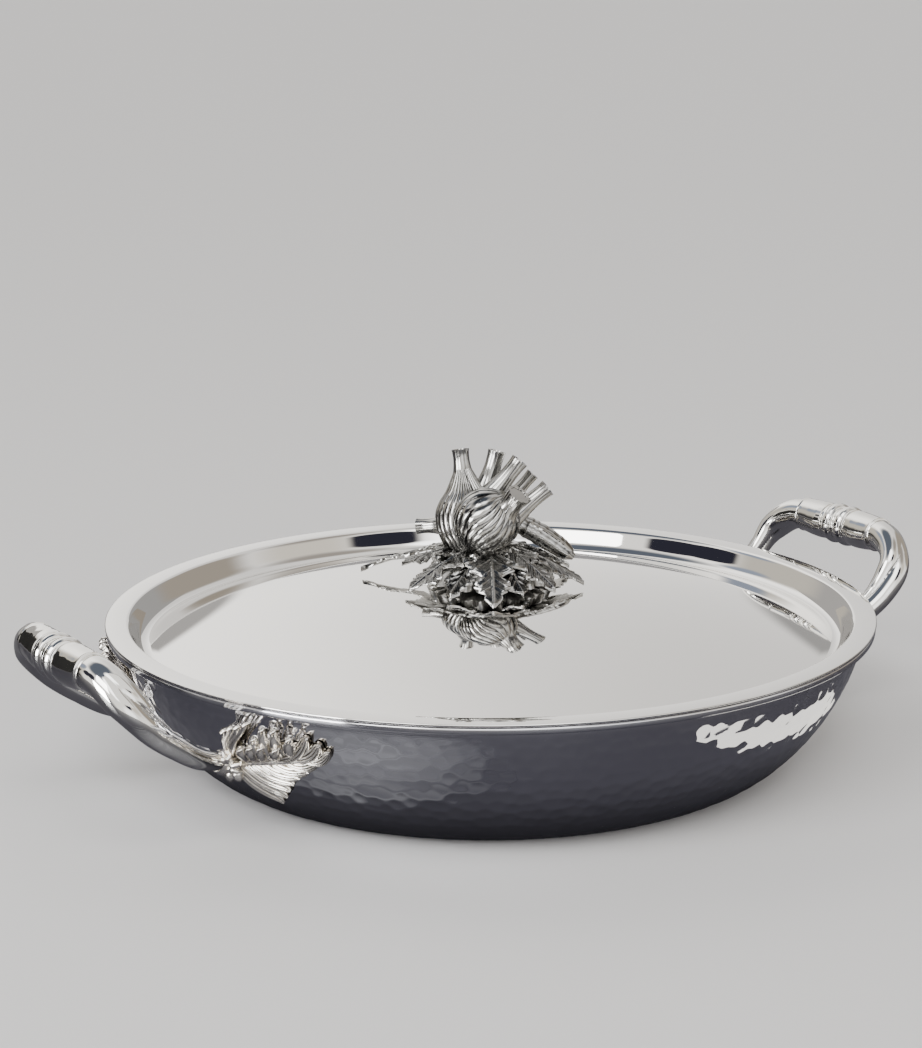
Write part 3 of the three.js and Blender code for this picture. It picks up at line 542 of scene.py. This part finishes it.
def handle_skin():
    _, total = spaced(handle_curve, 2)
    half = total / 2
    grip = GRIP_LENGTH / 2
    leg_end = half - TENON_LENGTH
    s = np.concatenate([
        np.linspace(0, 0.36 * grip, 70),
        np.linspace(0.37 * grip, 0.97 * grip, 24),
        np.linspace(0.975 * grip, grip, 6),
        np.linspace(grip + 0.03, leg_end - 0.02, 170),
        [leg_end + 0.02, half],
    ])
    s = np.concatenate([-s[:0:-1], s])
    curve, _ = spaced(handle_curve, s + half)
    fine, _ = spaced(handle_curve, np.clip(s[:, None] + half + np.array([-0.5, 0.5]), 0, total).ravel())
    along = unit(fine[1::2] - fine[0::2])
    first = unit(UP - along * (along @ UP)[:, None])
    second = np.cross(along, first)
    angle = (np.arange(HANDLE_SIDES) * TAU / HANDLE_SIDES)[None]
    distance = np.abs(s)[:, None]
    share = np.clip((distance - grip) / (leg_end - grip), 0, 1)
    collar = GRIP_RADIUS * np.interp(distance / grip, *np.transpose(GRIP_OUTLINE))
    radius = np.where(distance <= grip, collar, strand_radius(share, angle))
    radius = np.where(distance > leg_end, TENON_RADIUS, radius)
    rings = curve[:, None] + first[:, None] * (radius * np.cos(angle))[..., None]
    rings = rings + second[:, None] * (radius * np.sin(angle))[..., None]
    return loft(rings)


# Leaf escutcheons, made at one foot

def leaf_frame(p, q):
    c, s = math.cos(math.radians(LEAF_LIFT)), math.sin(math.radians(LEAF_LIFT))
    return p * c - q * s, p * s + q * c


def plate(along, up, over, relief):
    """A closed plate that lies on the wall, with a shaped top and a plain dark back."""
    top = on_wall(along, up, over)
    back = on_wall(along, up, CLEARANCE + 0 * over)
    rings = np.concatenate([top, back[:, ::-1]], axis=1)
    return loft(rings, np.concatenate([relief, 0 * relief], axis=1))


# The blade's edges, in the leaf's own directions: along it, lower edge, upper edge
BLADE_EDGES = [
    (0, -3, 3), (4, -8, 6), (8, -12, 7.5), (14, -14.5, 8), (19, -11, 8.5), (25, -7, 9), (31, -3.6, 9),
    (36, -1.4, 8.5), (41, 1.2, 7.5), (46, 3.6, 4.6),
]
# Feathers and lobes of the blade: root and tip in the leaf's own directions, and half width
FEATHERS = [
    ((3, 0), (14, -16.5), 2.9), ((6, 0.8), (18.5, -13.6), 2.8), ((9.5, 1), (22.5, -10.4), 2.7),
    ((13.5, 1.2), (26.5, -7.4), 2.6), ((18, 1.4), (31, -4.8), 2.5), ((23, 1.6), (36, -2.4), 2.4),
    ((29, 1.8), (41, 0.6), 2.2),
    ((27, 3), (41.5, 10.2), 2.6), ((33, 3), (45, 7.2), 2.6), ((36, 2.6), (47, 4.2), 2.2),
]


def blade_skin():
    """The plate of the leaf that its feathers lie on, with a midrib."""
    rows, columns = 60, 33
    p = np.linspace(0, 46, rows)[:, None]
    v = np.linspace(0, 1, columns)[None]
    at, low, high = np.transpose(BLADE_EDGES)
    low, high = np.interp(p, at, low), np.interp(p, at, high)
    q = lerp(low, high, v)
    along, up = leaf_frame(p + 0 * v, q)
    rib = np.exp(-((q - 2.2) / 1.0)**2)
    over = 0.7 + 0.9 * (1 - (2 * v - 1)**4) + 1.3 * rib
    relief = np.clip(0.1 + rib, 0, 1)
    return plate(along, up, over, relief)


def feather_skin(feather):
    """A flat lobe that runs from the midrib to the edge, ridged like a feather, with its end turned up."""
    root, tip, half_width = feather
    root, tip = np.array(root), np.array(tip)
    rows, columns = 40, 51
    u = np.linspace(0, 1, rows)[:, None]
    v = np.linspace(-1, 1, columns)[None]
    way = unit(tip - root)
    side = np.array([-way[1], way[0]])
    width = half_width * np.interp(u, [0, 0.2, 0.6, 0.85, 0.96, 1], [0.5, 0.85, 1, 0.85, 0.5, 0.12])
    sag = 2.0 * np.sin(math.pi * u)
    place = root + (tip - root) * u[..., None] + side * (v * width - sag)[..., None]
    along, up = leaf_frame(place[..., 0], place[..., 1])
    ridge = np.abs(np.cos(2.5 * math.pi * v)) ** 0.7
    body = 1.0 + 1.3 * (1 - v * v) + 0.9 * np.sin(math.pi * u ** 0.7) + 0.5 * u**4
    over = body + 0.38 * (ridge - 1) * np.minimum(1, 6 * (1 - u))
    relief = np.clip(1.25 * ridge - 0.15 - 0.4 * np.abs(v)**6, 0, 1) + 0 * u
    return plate(along, up, over, relief)


def wall_tube(points, radii, **shape):
    return tube([on_wall(*p) for p in points], radii, **shape)


# Curled lobes of the upper half: root and tip in the leaf's own directions
FINGERS = [
    ((19, 4), (25, 13.6)), ((23.5, 4), (29.6, 16.2)), ((28, 4), (33.6, 15.4)), ((32.5, 4), (38, 12.4)),
]
# A second row of shorter lobes in front of them
SHORT_FINGERS = [
    ((12, 3), (17.5, 10.4)), ((16, 3), (21.6, 10.6)), ((20, 3), (26, 10.4)), ((25.5, 3), (31.4, 9.4)),
]


def finger_skin(finger):
    """A lobe that stands up from the midrib and rolls back at its tip."""
    (p, q), (tip_p, tip_q) = finger
    path = [(0, 1.6), (0.4, 3.6), (0.75, 5.0), (1.0, 4.8), (1.04, 6.0), (0.9, 6.6)]
    places = [(*leaf_frame(lerp(p, tip_p, t), lerp(q, tip_q, t)), out) for t, out in path]
    return wall_tube(places, [1.9, 2.2, 2.2, 1.9, 1.5, 1.1], flat=0.55, ribs=4, rib_depth=0.2)


# Petals, by their tips, and the blossom's middle: along, up and out of the wall
PETALS = [(9.5, 20.4, 5.4), (12.6, 22, 5.6), (15.6, 23, 5.6), (18.6, 24.2, 5.0)]
BLOSSOM = (5.0, 5.2, 3.8)


def petal_skin(tip):
    """A ribbed petal that rises from the blossom and curls out under the rim."""
    along, up, out = tip
    return wall_tube([
        (lerp(BLOSSOM[0], along, 0.05), lerp(BLOSSOM[1], up, 0.1), 2.4),
        (lerp(BLOSSOM[0], along, 0.4), lerp(BLOSSOM[1], up, 0.5), 2.8),
        (lerp(BLOSSOM[0], along, 0.85), lerp(BLOSSOM[1], up, 0.85), out - 1.4),
        (along, up, out),
        (along - 0.8, up - 0.6, out + 1.5),
    ], [1.8, 2.7, 2.6, 1.9, 1.0], flat=0.55, ribs=6, rib_depth=0.22)


def blossom_skins():
    """The flower that the leg ends in, with hooked sepals round it and the cup that holds the leg."""
    along, up, out = BLOSSOM
    skins = []
    for k in range(6):
        angle = TAU * k / 6 + 0.2
        c, s = math.cos(angle), math.sin(angle)
        skins.append(wall_tube([
            (along, up, out - 0.6),
            (along + 2.4 * c, up + 2.4 * s, out + 0.9),
            (along + 4.4 * c, up + 4.4 * s, out - 0.2),
        ], [1.0, 2.0, 1.1], steps=14, sides=14, flat=0.7))
    for place in ((-1.2, 6.6), (-1.6, 2.0), (2.2, -1.6), (7.6, 0.2)):
        skins.append(wall_tube([
            (lerp(along, place[0], 0.4), lerp(up, place[1], 0.4), out - 0.4),
            (lerp(along, place[0], 0.85), lerp(up, place[1], 0.85), out + 1.4),
            (*place, out + 0.6),
        ], [1.4, 2.1, 1.2], steps=16, sides=14))
    cup = [(0.3, 0), (4.6, 0), (4.8, 3), (4.4, 6.5), (3.5, 8.8), (0.3, 8.9)]
    skins.append(loft(aimed(lathe(cup, 28), foot_point, leg_direction)))
    return skins


def at_foot(points, side, end):
    flipped = points * (mirror_y if end == "b" else 1)
    return flipped * (np.array([-1, -1, 1]) if side == "left" else 1)


def handles_and_leaves():
    handle = handle_skin()
    leaf = [blade_skin(), *map(feather_skin, FEATHERS), *map(finger_skin, FINGERS + SHORT_FINGERS)]
    leaf += [*map(petal_skin, PETALS), *blossom_skins()]
    for side in ("right", "left"):
        skins = moved([handle], lambda points: at_foot(points, side, "a"))
        piece(f"handle_{side}_twisted", skins, polished_cast, "pan", f"handle_{side}", 35)
        for end in ("a", "b"):
            skins = moved(leaf, lambda points: at_foot(points, side, end))
            piece(f"leaf_{side}_{end}_cast", skins, leaf_silver, "pan", f"leaf_{side}_{end}")


def rivets():
    inner = -PAN_SHEET - RIVET_HEAD_GAP
    turn = np.linspace(0.05, math.pi / 2, 8)
    head = [(RIVET_HEAD_RADIUS * math.sin(t), -RIVET_HEAD_HEIGHT * math.cos(t)) for t in turn]
    shank = [(RIVET_RADIUS, 0), (RIVET_RADIUS, RIVET_REACH - inner), (0.2, RIVET_REACH - inner)]
    rings = lathe([*head, *shank], 32)
    number = 0
    for side in ("right", "left"):
        for end in ("a", "b"):
            for along, up in RIVET_PLACES:
                number += 1
                normal = on_wall(along, up, 1) - on_wall(along, up, 0)
                skin = loft(aimed(rings, on_wall(along, up, inner), normal))
                skins = moved([skin], lambda points: at_foot(points, side, end))
                piece(f"rivet_{number}_domed", skins, plain_steel, "pan", f"rivet_{number}")


# Finial: places are hundredths of its height, above the seat, turned with the group

def placed(points):
    return turned(points, FINIAL_TURN) + np.array([0, 0, SEAT_Z])


def point(x, y, z):
    return np.array([x, y, z]) * HUNDREDTH


# Leaves of the rosette: angle, reach, half width, tip over the dome, drop of the root under the crown
ROSETTE_LEAVES = [
    (-88, 75, 20, 0, 0), (-146, 73, 20, 2, 0), (-177, 67, 20, 13, 0), (158, 108, 7, 2.5, 0),
    (-44, 67, 18, 3, 0), (-14, 73, 19, 1, 0), (30, 71, 19, 1, 0), (75, 73, 20, 1, 0), (120, 69, 20, 1, 0),
    (-118, 63, 17, 1.5, 6), (-66, 60, 16, 1.5, 6),
]
LEAF_FALL = 1.35 # 1 would be a straight slope from the crown to a leaf's tip
# Half of a lobed leaf's outline: share of the length, share of the half width
LOBED_EDGE = [
    (0, 0.5), (0.1, 0.7), (0.15, 0.52), (0.23, 0.92), (0.28, 0.66), (0.35, 1), (0.4, 0.72), (0.44, 0.84),
    (0.48, 0.5), (0.52, 0.34), (0.56, 0.36), (0.63, 0.66), (0.67, 0.46), (0.73, 0.7), (0.78, 0.42),
    (0.82, 0.52), (0.86, 0.3), (0.91, 0.34), (1, 0.03),
]
# Where the side veins leave the midrib
LOBE_ROOTS = (0.0, 0.14, 0.3, 0.48, 0.62, 0.74)


def rosette_leaf(leaf):
    """A lobed leaf that falls from the crown on to the dome, with a midrib and side veins."""
    angle, *sizes = leaf
    reach, half_width, tip, drop = (size * HUNDREDTH for size in sizes)
    root = CROWN_RADIUS / 2
    length = reach - root
    u = np.linspace(0, 1, 90)[:, None]
    v = np.linspace(-1, 1, 49)[None]
    edge = np.interp(u, *np.transpose(LOBED_EDGE)) * half_width
    q = v * edge
    p = root + length * np.minimum(u + 0.1 * np.abs(v) * (1 - u), 1)
    share = (p - root) / length
    fall = (CROWN_HEIGHT - ROSETTE_THICKNESS - ROSETTE_CLEARANCE - tip - drop) * (1 - share**LEAF_FALL)
    mid = np.exp(-(q / 0.5) ** 2)
    sweep = np.abs(q) / half_width
    side = np.max([np.exp(-((share - at - 0.3 * sweep) * length / 0.38) ** 2) for at in LOBE_ROOTS], axis=0)
    fine = 0.5 + 0.5 * np.cos(TAU * (share * length - 1.1 * np.abs(q)) / 1.15)
    wave = v * v * (0.8 * np.cos(TAU * 2.4 * share + angle) + 0.35) * smooth(0, 0.3, share)
    base = dome_height(np.hypot(p, q)) - SEAT_Z + ROSETTE_CLEARANCE + tip + fall
    base = base + np.maximum(wave, -0.5 * ROSETTE_CLEARANCE)
    over = base + ROSETTE_THICKNESS * (1 - 0.6 * v**4)
    over = over + 0.55 * np.maximum(mid, 0.75 * side) + 0.22 * fine * (1 - mid)
    # Painted shade: a leaf whose root drops under the crown gets a darker relief, 0.06 less for each
    # millimetre of drop.
    relief = np.clip(0.2 + 0.42 * np.maximum(mid, 0.8 * side) + 0.2 * fine + 0.6 * v**8 - 0.06 * drop, 0, 1)
    rings = np.concatenate([
        np.stack([p, q, over], axis=-1),
        np.stack([p, q, base], axis=-1)[:, ::-1],
    ], axis=1)
    points, quads, tris, values = loft(rings, np.concatenate([relief, UNDERSIDE + 0 * relief], axis=1))
    return turned(points, angle), quads, tris, values


def rosette():
    hub = [
        (3.4, 0.3), (21, 0.6), (22.5, 1.2), (21.5, 5.5), (14.5, 10), (CROWN_RADIUS, CROWN_HEIGHT - 0.8),
        (CROWN_RADIUS - 1, CROWN_HEIGHT), (3.4, CROWN_HEIGHT),
    ]
    rings = lathe(hub, HUB_AROUND)
    ruffle = np.abs(np.cos(np.arange(HUB_AROUND) * TAU / 20)) ** 0.7
    rings[1:5, :, :2] *= (0.86 + 0.18 * ruffle)[None, :, None]
    relief = np.broadcast_to(0.35 + 0.65 * ruffle, (len(hub), HUB_AROUND)).copy()
    relief[:4] = UNDERSIDE
    skins = [loft(rings, relief, ring=True)]
    skins += [rosette_leaf(leaf) for leaf in ROSETTE_LEAVES]
    piece("finial_rosette_leaves", moved(skins, placed), pewter, "lid", "finial_rosette")


# Outlines, as shares of the length and of the radius: a round bulb, one drawn up to its stalk, and a stalk
ROUND_BULB = [(0, 0.2), (0.1, 0.6), (0.26, 0.88), (0.5, 1), (0.74, 0.88), (0.9, 0.6), (1, 0.2)]
DRAWN_BULB = [(0, 0.6), (0.1, 0.85), (0.3, 1), (0.48, 0.96), (0.62, 0.82), (0.76, 0.57), (1, 0.26)]
STALK_OUTLINE = [(0, 1.6), (0.3, 1.24), (0.5, 1.02), (0.7, 0.92), (0.88, 0.93), (1, 1)]
# Bulbs: root, crown, radius, outline, ribs and turn of the first rib; stalks as start, tip and radius
FRONT_BULB = {
    "root": (-18, -7.5, 28.5), "crown": (13, -12.5, 69.5), "radius": 26,
    "outline": ROUND_BULB, "ribs": 22, "turn": 0.2,
    "stalks": [
        ((6, -15, 50), (22, -25, 72.7), 9.2), ((15, -5, 50), (44, -4, 72.7), 6.8),
        ((-2, -2, 62), (23, 0, 93), 7.0),
    ],
}
REAR_BULB = {
    "root": (-13, 5, 22), "crown": (-20, 14, 84), "radius": 26.5,
    "outline": DRAWN_BULB, "ribs": 32, "turn": 0.9,
    "stalks": [
        ((-19, 13, 70), (-22, 17, 98.6), 6.8), ((-4, 14, 62), (6, 17, 97), 7.0),
        ((10, 10, 54), (33, 12.5, 80), 5.2), ((-30, 9, 42), (-55, 16.7, 38.7), 6.4),
    ],
}
SHEATHS = 3 # folds that lap over round each bulb
STALK_RIBS = 7
CUT_RIM = 0.8 # of a stalk's radius, inside which its end is sunk
CUT_DEPTH = 0.35


def outlined(outline, share):
    """The width of an outline at a share of its length, by a smooth curve through its points."""
    curve = catmull([(at, width, 0) for at, width in outline])
    return np.interp(share, curve[:, 0], curve[:, 1])


def stalk_skin(start, tip, size):
    """A ribbed stalk that widens to its root, cut square with a sunken end."""
    start, tip, size = point(*start), point(*tip), size * HUNDREDTH
    length = np.linalg.norm(tip - start)
    share = np.linspace(0, 1, 48)[:, None]
    angle = (np.arange(88) * TAU / 88)[None]
    ridge = np.abs(np.cos(STALK_RIBS * angle / 2)) ** 0.6
    r = size * outlined(STALK_OUTLINE, share) * (1 - 0.08 * (1 - ridge))
    width = np.concatenate([r, CUT_RIM * r[-1:], CUT_RIM * r[-1:] * 0.96])
    z = np.concatenate([length * share, [[length], [length - CUT_DEPTH]]])
    shade = np.concatenate([0.35 + 0.65 * ridge + 0 * share, 1 + 0 * ridge, 0.85 + 0 * ridge])
    rings = np.stack([width * np.cos(angle), width * np.sin(angle), z + 0 * angle], axis=-1)
    return loft(aimed(rings, start, tip - start), shade)


def bulb_skins(bulb):
    """A ribbed bulb along its own axis, wrapped in sheaths that lap over, and its cut stalks."""
    share = np.linspace(0, 1, 80)[:, None]
    angle = (np.arange(324) * TAU / 324)[None]
    root, crown = point(*bulb["root"]), point(*bulb["crown"])
    wander = angle + bulb["turn"] + 0.12 * np.sin(3 * angle) + 0.1 * np.sin(2 * math.pi * share + 2 * angle)
    ridge = np.abs(np.sin(wander * bulb["ribs"] / 2)) ** 0.4
    fold = (wander * SHEATHS / TAU + 0.45 * share) % 1
    swell = bulb["radius"] * HUNDREDTH * outlined(bulb["outline"], share)
    r = swell - (0.7 * (1 - ridge) + 0.9 * fold) * np.minimum(1, swell / 6)
    z = share * np.linalg.norm(crown - root) + 0 * angle
    rings = np.stack([r * np.cos(angle), r * np.sin(angle), z], axis=-1)
    # Painted shade: the bulb is half as bright at its root, down among the rosette's leaves, and reaches
    # full brightness 0.6 of the way up.
    painted_root_shade = 0.5 + 0.5 * smooth(0, 0.6, share)
    # Painted shade: the low side of each sheath's step, where the next sheath laps over it, is darkened.
    shade = np.clip((1.2 * ridge - 0.15) * painted_root_shade - 0.7 * smooth(0.88, 1, fold), 0, 1)
    skins = [loft(aimed(rings, root, crown - root), shade)]
    return skins + [stalk_skin(*stalk) for stalk in bulb["stalks"]]


def fennel():
    front, rear = (moved(bulb_skins(bulb), placed) for bulb in (FRONT_BULB, REAR_BULB))
    piece("fennel_bulb_front_ribbed", front, pewter, "lid", "fennel_bulb_front")
    piece("fennel_bulb_rear_ribbed", rear, pewter, "lid", "fennel_bulb_rear")
    knots = np.interp(np.linspace(0, 9, 24), np.arange(10), STEM_RADII) * (1 - 0.07 * rng.random(24))
    bumpy = catmull([(at, radius, 0) for at, radius in enumerate(knots)])
    radii = np.interp(np.linspace(0, 23, 93), bumpy[:, 0], bumpy[:, 1])
    places = [point(19, 12, 44), point(42, 10.4, 31), point(64, 8, 15.5)]
    stem = tube(places, radii, steps=92, sides=60, ribs=8, rib_depth=0.07)
    piece("fennel_stem_rough", moved([stem], placed), pewter, "lid", "fennel_stem")


# Floor, light and camera

def stage_plane(name, size, z, material):
    bpy.ops.mesh.primitive_plane_add(size=size, location=(0, 0, z))
    plane = bpy.context.object
    plane.name = name
    plane.data.materials.append(material)
    return plane


def unseen(obj, *rays):
    """Hide a staged object from some kinds of ray."""
    for ray in rays:
        setattr(obj, f"visible_{ray}", False)


def plain(name, color, roughness, specular=0.5):
    material = bpy.data.materials.new(name)
    material.use_nodes = True
    shader = material.node_tree.nodes["Principled BSDF"]
    shader.inputs["Base Color"].default_value = (*color, 1)
    shader.inputs["Roughness"].default_value = roughness
    shader.inputs["Specular IOR Level"].default_value = specular
    return material


def painted_shadow_floor(name, dark, pale, roughness, specular):
    """A floor with a painted contact shadow: its colour is darker close round the pan's foot."""
    material = plain(name, dark, roughness, specular)
    nodes, links = material.node_tree.nodes, material.node_tree.links
    place = nodes.new("ShaderNodeTexCoord")
    radius = nodes.new("ShaderNodeVectorMath")
    radius.operation = "LENGTH"
    links.new(place.outputs["Object"], radius.inputs[0])
    share = nodes.new("ShaderNodeMapRange")
    share.interpolation_type = "SMOOTHSTEP"
    share.inputs["From Min"].default_value = BASE_RADIUS * MM
    share.inputs["From Max"].default_value = RIM_RADIUS * MM
    links.new(radius.outputs["Value"], share.inputs["Value"])
    ramp = nodes.new("ShaderNodeValToRGB")
    ramp.color_ramp.elements[0].color = (*dark, 1)
    ramp.color_ramp.elements[1].color = (*pale, 1)
    links.new(share.outputs["Result"], ramp.inputs["Fac"])
    links.new(ramp.outputs["Color"], nodes["Principled BSDF"].inputs["Base Color"])
    return material


def glowing(name, color, strength):
    material = plain(name, (0, 0, 0), 0.5, 0)
    shader = material.node_tree.nodes["Principled BSDF"]
    shader.inputs["Emission Color"].default_value = (*color, 1)
    shader.inputs["Emission Strength"].default_value = strength
    return material


def fading(name, color, strength):
    """A glow that is clear at the card's edge and full at its middle."""
    material = glowing(name, color, strength)
    nodes, links = material.node_tree.nodes, material.node_tree.links
    place = nodes.new("ShaderNodeTexCoord")
    double = nodes.new("ShaderNodeVectorMath")
    double.operation = "SCALE"
    double.inputs["Scale"].default_value = 2
    links.new(place.outputs["Object"], double.inputs[0])
    share = nodes.new("ShaderNodeTexGradient")
    share.gradient_type = "SPHERICAL"
    links.new(double.outputs["Vector"], share.inputs["Vector"])
    links.new(share.outputs["Fac"], nodes["Principled BSDF"].inputs["Alpha"])
    return material


def area_light(name, place, target, size, power):
    data = bpy.data.lights.new(name, "AREA")
    data.shape = "RECTANGLE"
    data.size, data.size_y = size
    data.energy = power
    light = bpy.data.objects.new(name, data)
    light.location = place
    light.rotation_euler = (Vector(target) - Vector(place)).to_track_quat("-Z", "Y").to_euler()
    bpy.context.scene.collection.objects.link(light)


def in_view(direction, distance):
    """A place seen from the camera's side: x to the right, y away from it, z up."""
    spin = Matrix.Rotation(-math.radians(HANDLE_AZIMUTH), 3, "Z")
    return spin @ (Vector(direction).normalized() * distance)


def at_view(x, y, z):
    """A place in millimetres, seen from the camera's side."""
    return in_view((x, y, z), math.hypot(x, y, z) * MM)


def facing(place, target):
    return (Vector(target) - Vector(place)).to_track_quat("Z", "Y").to_euler()


def on_floor(turn):
    """The rotation of a card that lies flat, turned from the camera's side."""
    return 0, 0, math.radians(turn - HANDLE_AZIMUTH)


# Sizes of the stage, in metres
FLOOR_SIZE = 60
SLATE_DEPTH = 0.0004 # under the floor
BACKDROP_RADIUS = 14

# Soft zones of the room round the pan: turn from the camera's side, rise, full and outer half angle, colour
ZONES = [
    (-145, 30, 5, 60, (2.4, 2.34, 2.24)),
    (140, 30, 5, 60, (1.1, 1.07, 1.04)),
    (140, -3, 29.5, 31, (0.42, 0.41, 0.4)),
    (-141, -5, 29.6, 30.6, (0.5, 0.48, 0.46)),
    (-90, 75, 20, 34, (0.13, 0.15, 0.19)),
    (120, 20, 14, 26, (0.42, 0.37, 0.31)),
    (72, 32, 6, 22, (0.95, 0.88, 0.77)),
    (85, 56, 6, 22, (0.42, 0.38, 0.34)),
    (-116, 18, 12, 28, (0.74, 0.69, 0.6)),
    (-112, 36, 4, 12, (0.36, 0.41, 0.52)),
    (-45, 0, 10, 30, (0.22, 0.22, 0.24)),
    (-110, -8, 14, 24, (0.05, 0.05, 0.05)),
    (8, 55, 13, 20, (4, 4, 4)),
    (-72, 30, 9, 12, (0.03, 0.03, 0.045)),
    (-87, 27, 8, 11, (0.03, 0.03, 0.045)),
    (41, 37, 9, 13, (0.03, 0.03, 0.045)),
    (25, 6, 10, 26, (2.4, 2.4, 2.4)),
]
ROOM_COLOR = (1.46, 1.42, 1.36, 1)


def toward(azimuth, elevation):
    """A direction by its turn from the camera's side and its rise."""
    turn, rise = math.radians(azimuth), math.radians(elevation)
    return in_view((math.sin(turn) * math.cos(rise), -math.cos(turn) * math.cos(rise), math.sin(rise)), 1)


def room():
    """A pale room with a few soft dark and bright zones, which the polished metal mirrors."""
    world = bpy.data.worlds.new("studio")
    bpy.context.scene.world = world
    world.use_nodes = True
    nodes, links = world.node_tree.nodes, world.node_tree.links
    place = nodes.new("ShaderNodeTexCoord")
    base = nodes.new("ShaderNodeRGB")
    base.outputs["Color"].default_value = ROOM_COLOR
    color = base.outputs["Color"]
    for azimuth, elevation, full, outer, tone in ZONES:
        near = nodes.new("ShaderNodeVectorMath")
        near.operation = "DOT_PRODUCT"
        near.inputs[1].default_value = toward(azimuth, elevation)
        links.new(place.outputs["Generated"], near.inputs[0])
        share = nodes.new("ShaderNodeMapRange")
        share.interpolation_type = "SMOOTHSTEP"
        share.inputs["From Min"].default_value = math.cos(math.radians(outer))
        share.inputs["From Max"].default_value = math.cos(math.radians(full))
        links.new(near.outputs["Value"], share.inputs["Value"])
        mix = nodes.new("ShaderNodeMix")
        mix.data_type = "RGBA"
        mix.inputs[7].default_value = (*tone, 1)
        links.new(share.outputs["Result"], mix.inputs[0])
        links.new(color, mix.inputs[6])
        color = mix.outputs[2]
    links.new(color, nodes["Background"].inputs["Color"])


def prop(name, place, size, facing, material, near_end=1.0):
    """A card that shows only in the polished metal; its near end may be narrower."""
    bpy.ops.mesh.primitive_plane_add(size=1, location=place)
    panel = bpy.context.object
    panel.name = name
    for vertex in panel.data.vertices:
        vertex.co.x *= near_end if vertex.co.y < 0 else 1
    panel.scale = (*size, 1)
    panel.rotation_euler = facing
    panel.data.materials.append(material)
    unseen(panel, "camera", "diffuse", "shadow")


def backdrop():
    """A pale surround beyond the floor, in place of the room's zones, which only the metal shows."""
    bpy.ops.mesh.primitive_uv_sphere_add(radius=BACKDROP_RADIUS)
    surround = bpy.context.object
    surround.name = "backdrop"
    surround.data.materials.append(glowing("pale_backdrop", (1, 0.995, 0.985), 0.88))
    unseen(surround, "diffuse", "glossy", "shadow")


def wall_sheen():
    """A soft card with fine lines before the wall, whose image the hammer marks break up."""
    across, away, color = -66, -147, (1, 1, 1.05)
    soft = fading("grey_sheen", color, 0.38)
    prop("grey_sheen", at_view(across, away, 0.3), (0.085, 0.15), on_floor(-114), soft)
    lines = fading("sheen_lines", color, 0.24)
    for reach in range(126, 204, 11):
        prop("sheen_line", in_view((across, away, 0.6), reach * MM), (0.008, 0.14), on_floor(-114), lines)


def studio():
    floor = stage_plane("floor", FLOOR_SIZE, 0, plain("pale_floor", (0.74, 0.735, 0.735), 0.7, 0))
    unseen(floor, "glossy")
    # The slate's colour carries a painted contact shadow, dark close round the pan's foot and pale beyond
    # its rim.
    dark = painted_shadow_floor("slate", (0.018, 0.018, 0.023), (0.076, 0.076, 0.096), 0.4, 0.12)
    slate = stage_plane("slate", FLOOR_SIZE, -SLATE_DEPTH, dark)
    unseen(slate, "camera", "diffuse", "shadow")
    backdrop()
    room()
    centre = (0, 0, 0.05)
    area_light("softbox", in_view((-0.45, -0.6, 0.66), 1.6), centre, (0.75, 0.6), 10)
    low = in_view((-0.75, -0.6, 0.2), 1.2)
    prop("low_left", low, (0.5, 0.4), facing(low, centre), glowing("low_left", (1, 1, 1), 19))
    white = glowing("white_strip", (1, 0.97, 0.89), 1.7)
    prop("white_strip", at_view(136, -58, 0.3), (0.03, 0.14), on_floor(-20.6), white, 0.62)
    wall_sheen()
    fill = at_view(-87, -147, 132)
    pale = glowing("pale_card", ROOM_COLOR[:3], 1)
    prop("pale_card", fill, (0.075, 0.075), facing(fill, at_view(-150, -75, 60)), pale)
    flag = at_view(-415, 64, 105)
    black = plain("black_flag", (0.015, 0.015, 0.015), 0.8)
    prop("black_flag", flag, (0.24, 0.2), facing(flag, at_view(-150, -60, 60)), black)


def swung(first, second, angle):
    """Two directions at right angles, turned towards each other in their plane."""
    c, s = math.cos(angle), math.sin(angle)
    return first * c + second * s, second * c - first * s


def camera():
    elevation = math.radians(CAMERA_ELEVATION)
    place = Vector((0, -math.cos(elevation), math.sin(elevation))) * CAMERA_DISTANCE
    forward = -place.normalized()
    right = Vector((1, 0, 0))
    up = right.cross(forward)
    yaw, pitch, roll = (math.radians(a) for a in (AIM_YAW, AIM_PITCH, AIM_ROLL))
    forward, right = swung(forward, right, yaw)
    forward, up = swung(forward, up, pitch)
    right, up = swung(right, up, roll)
    turn = Matrix((right, up, -forward)).transposed().to_4x4()
    spin = Matrix.Rotation(-math.radians(HANDLE_AZIMUTH), 4, "Z")
    data = bpy.data.cameras.new("camera")
    data.lens = LENS
    data.sensor_width = 36
    view = bpy.data.objects.new("camera", data)
    lid_top = Matrix.Translation((0, 0, LID_TOP * MM))
    view.matrix_world = lid_top @ spin @ Matrix.Translation(place * MM) @ turn
    bpy.context.scene.collection.objects.link(view)
    bpy.context.scene.camera = view


pan_body()
lid_shell()
handles_and_leaves()
rivets()
rosette()
fennel()
for node in ("finial_stud", "lid_washer", "lid_nut"):
    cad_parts[node].data.materials.clear()
    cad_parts[node].data.materials.append(plain_steel)
studio()
camera()
